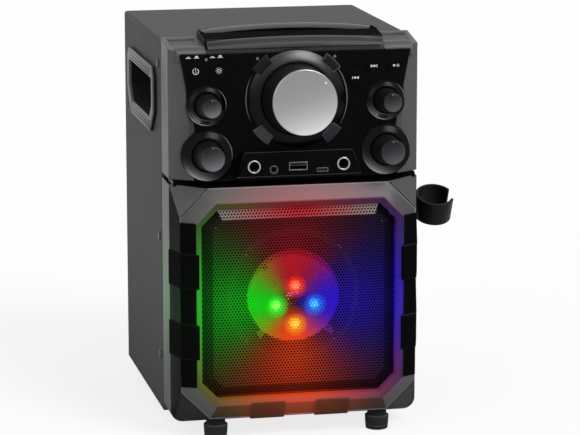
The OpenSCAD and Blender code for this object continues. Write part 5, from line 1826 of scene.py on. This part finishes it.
@dataclass
class Studio:
    """The floor, the lights and the camera."""

    azimuth: float = math.radians(-12.2)
    elevation: float = math.radians(11.481)
    distance: float = 2.20799
    lens: float = 169.18
    target: tuple[float, float, float] = (0.01694, 0.002, 0.1503)
    world: float = 0.55
    backdrop: float = 0.8
    floor_half: float = 12.0
    floor_z: float = -0.0006

    def camera(self) -> None:
        """Sets the camera where the photograph was taken from."""
        data = bpy.data.cameras.new("view")
        data.lens, data.sensor_width = self.lens, 36.0
        data.clip_end = 50.0
        back = Vector((math.sin(self.azimuth) * math.cos(self.elevation),
                       -math.cos(self.azimuth) * math.cos(self.elevation),
                       math.sin(self.elevation)))
        across = Vector((0.0, 0.0, 1.0)).cross(back).normalized()
        turn = Matrix((across, back.cross(across), back)).transposed().to_4x4()
        camera = bpy.data.objects.new("view", data)
        camera.matrix_world = Matrix.Translation(Vector(self.target) + back * self.distance) @ turn
        bpy.context.scene.collection.objects.link(camera)
        bpy.context.scene.camera = camera

    def floor(self) -> None:
        """Lays a wide pale floor that keeps the object's shadow."""
        corners = ((-1.0, -1.0), (1.0, -1.0), (1.0, 1.0), (-1.0, 1.0))
        points = np.array([(x * self.floor_half, y * self.floor_half, self.floor_z) for x, y in corners])
        floor = new_object("floor", points, [[0, 1, 2, 3]])
        material, g, shader = new_material("pale_floor")
        noise = g.node("ShaderNodeTexNoise", {"Vector": g.place(), "Scale": 3.0, "Detail": 2.0})
        tone = g.blend(noise.outputs["Fac"], (0.86, 0.86, 0.86), (0.90, 0.90, 0.90))
        g.feed(shader, {"Base Color": tone, "Roughness": 0.9, "Specular IOR Level": 0.1})
        white = g.node("ShaderNodeEmission", {"Color": WHITE, "Strength": 1.0})
        seen = g.math("MULTIPLY", g.node("ShaderNodeLightPath").outputs["Is Camera Ray"], self.backdrop)
        mix = g.node("ShaderNodeMixShader", {0: seen, 1: shader.outputs[0], 2: white.outputs[0]})
        g.feed(material.node_tree.nodes["Material Output"], {"Surface": mix.outputs[0]})
        floor.data.materials.append(material)

    def light(self) -> None:
        """Lights the object with an even sky and two soft suns, and shows white behind it."""
        world = bpy.data.worlds.new("sky")
        world.use_nodes = True
        bpy.context.scene.world = world
        g = Graph(world.node_tree)
        sky = world.node_tree.nodes["Background"]
        g.feed(sky, {"Strength": self.world, "Color": WHITE})
        white = g.node("ShaderNodeBackground", {"Color": WHITE, "Strength": 1.0})
        path = g.node("ShaderNodeLightPath")
        other = g.math("MAXIMUM", path.outputs["Is Glossy Ray"], path.outputs["Is Transmission Ray"])
        seen = g.math("MAXIMUM", path.outputs["Is Camera Ray"], other)
        mix = g.node("ShaderNodeMixShader", {0: seen, 1: sky.outputs[0], 2: white.outputs[0]})
        g.feed(world.node_tree.nodes["World Output"], {"Surface": mix.outputs[0]})
        suns = (("key", 2.1, (-0.45, 0.75, -0.8), 28.0), ("fill", 0.5, (0.75, 0.6, -0.55), 40.0))
        for name, energy, direction, spread in suns:
            sun = bpy.data.lights.new(name, "SUN")
            sun.energy, sun.angle = energy, math.radians(spread)
            lamp = bpy.data.objects.new(name, sun)
            lamp.matrix_world = Vector(direction).to_track_quat("-Z", "Y").to_matrix().to_4x4()
            bpy.context.scene.collection.objects.link(lamp)

    def build(self) -> None:
        """Sets up the studio."""
        self.camera()
        self.floor()
        self.light()
        bpy.context.scene.view_settings.view_transform = "Standard"


def main() -> None:
    """Builds and dresses the speaker, part by part, and sets up the studio."""
    logging.basicConfig(level=logging.INFO, format="%(name)s: %(message)s")
    shop = Workshop()
    for part in (Case(), LowerFront(), Woofer(), UpperFront(), MicrophoneHolder()):
        part.build(shop)
        LOG.info("built %s", type(part).__name__)
    Studio().build()


if __name__ == "__main__":
    main()
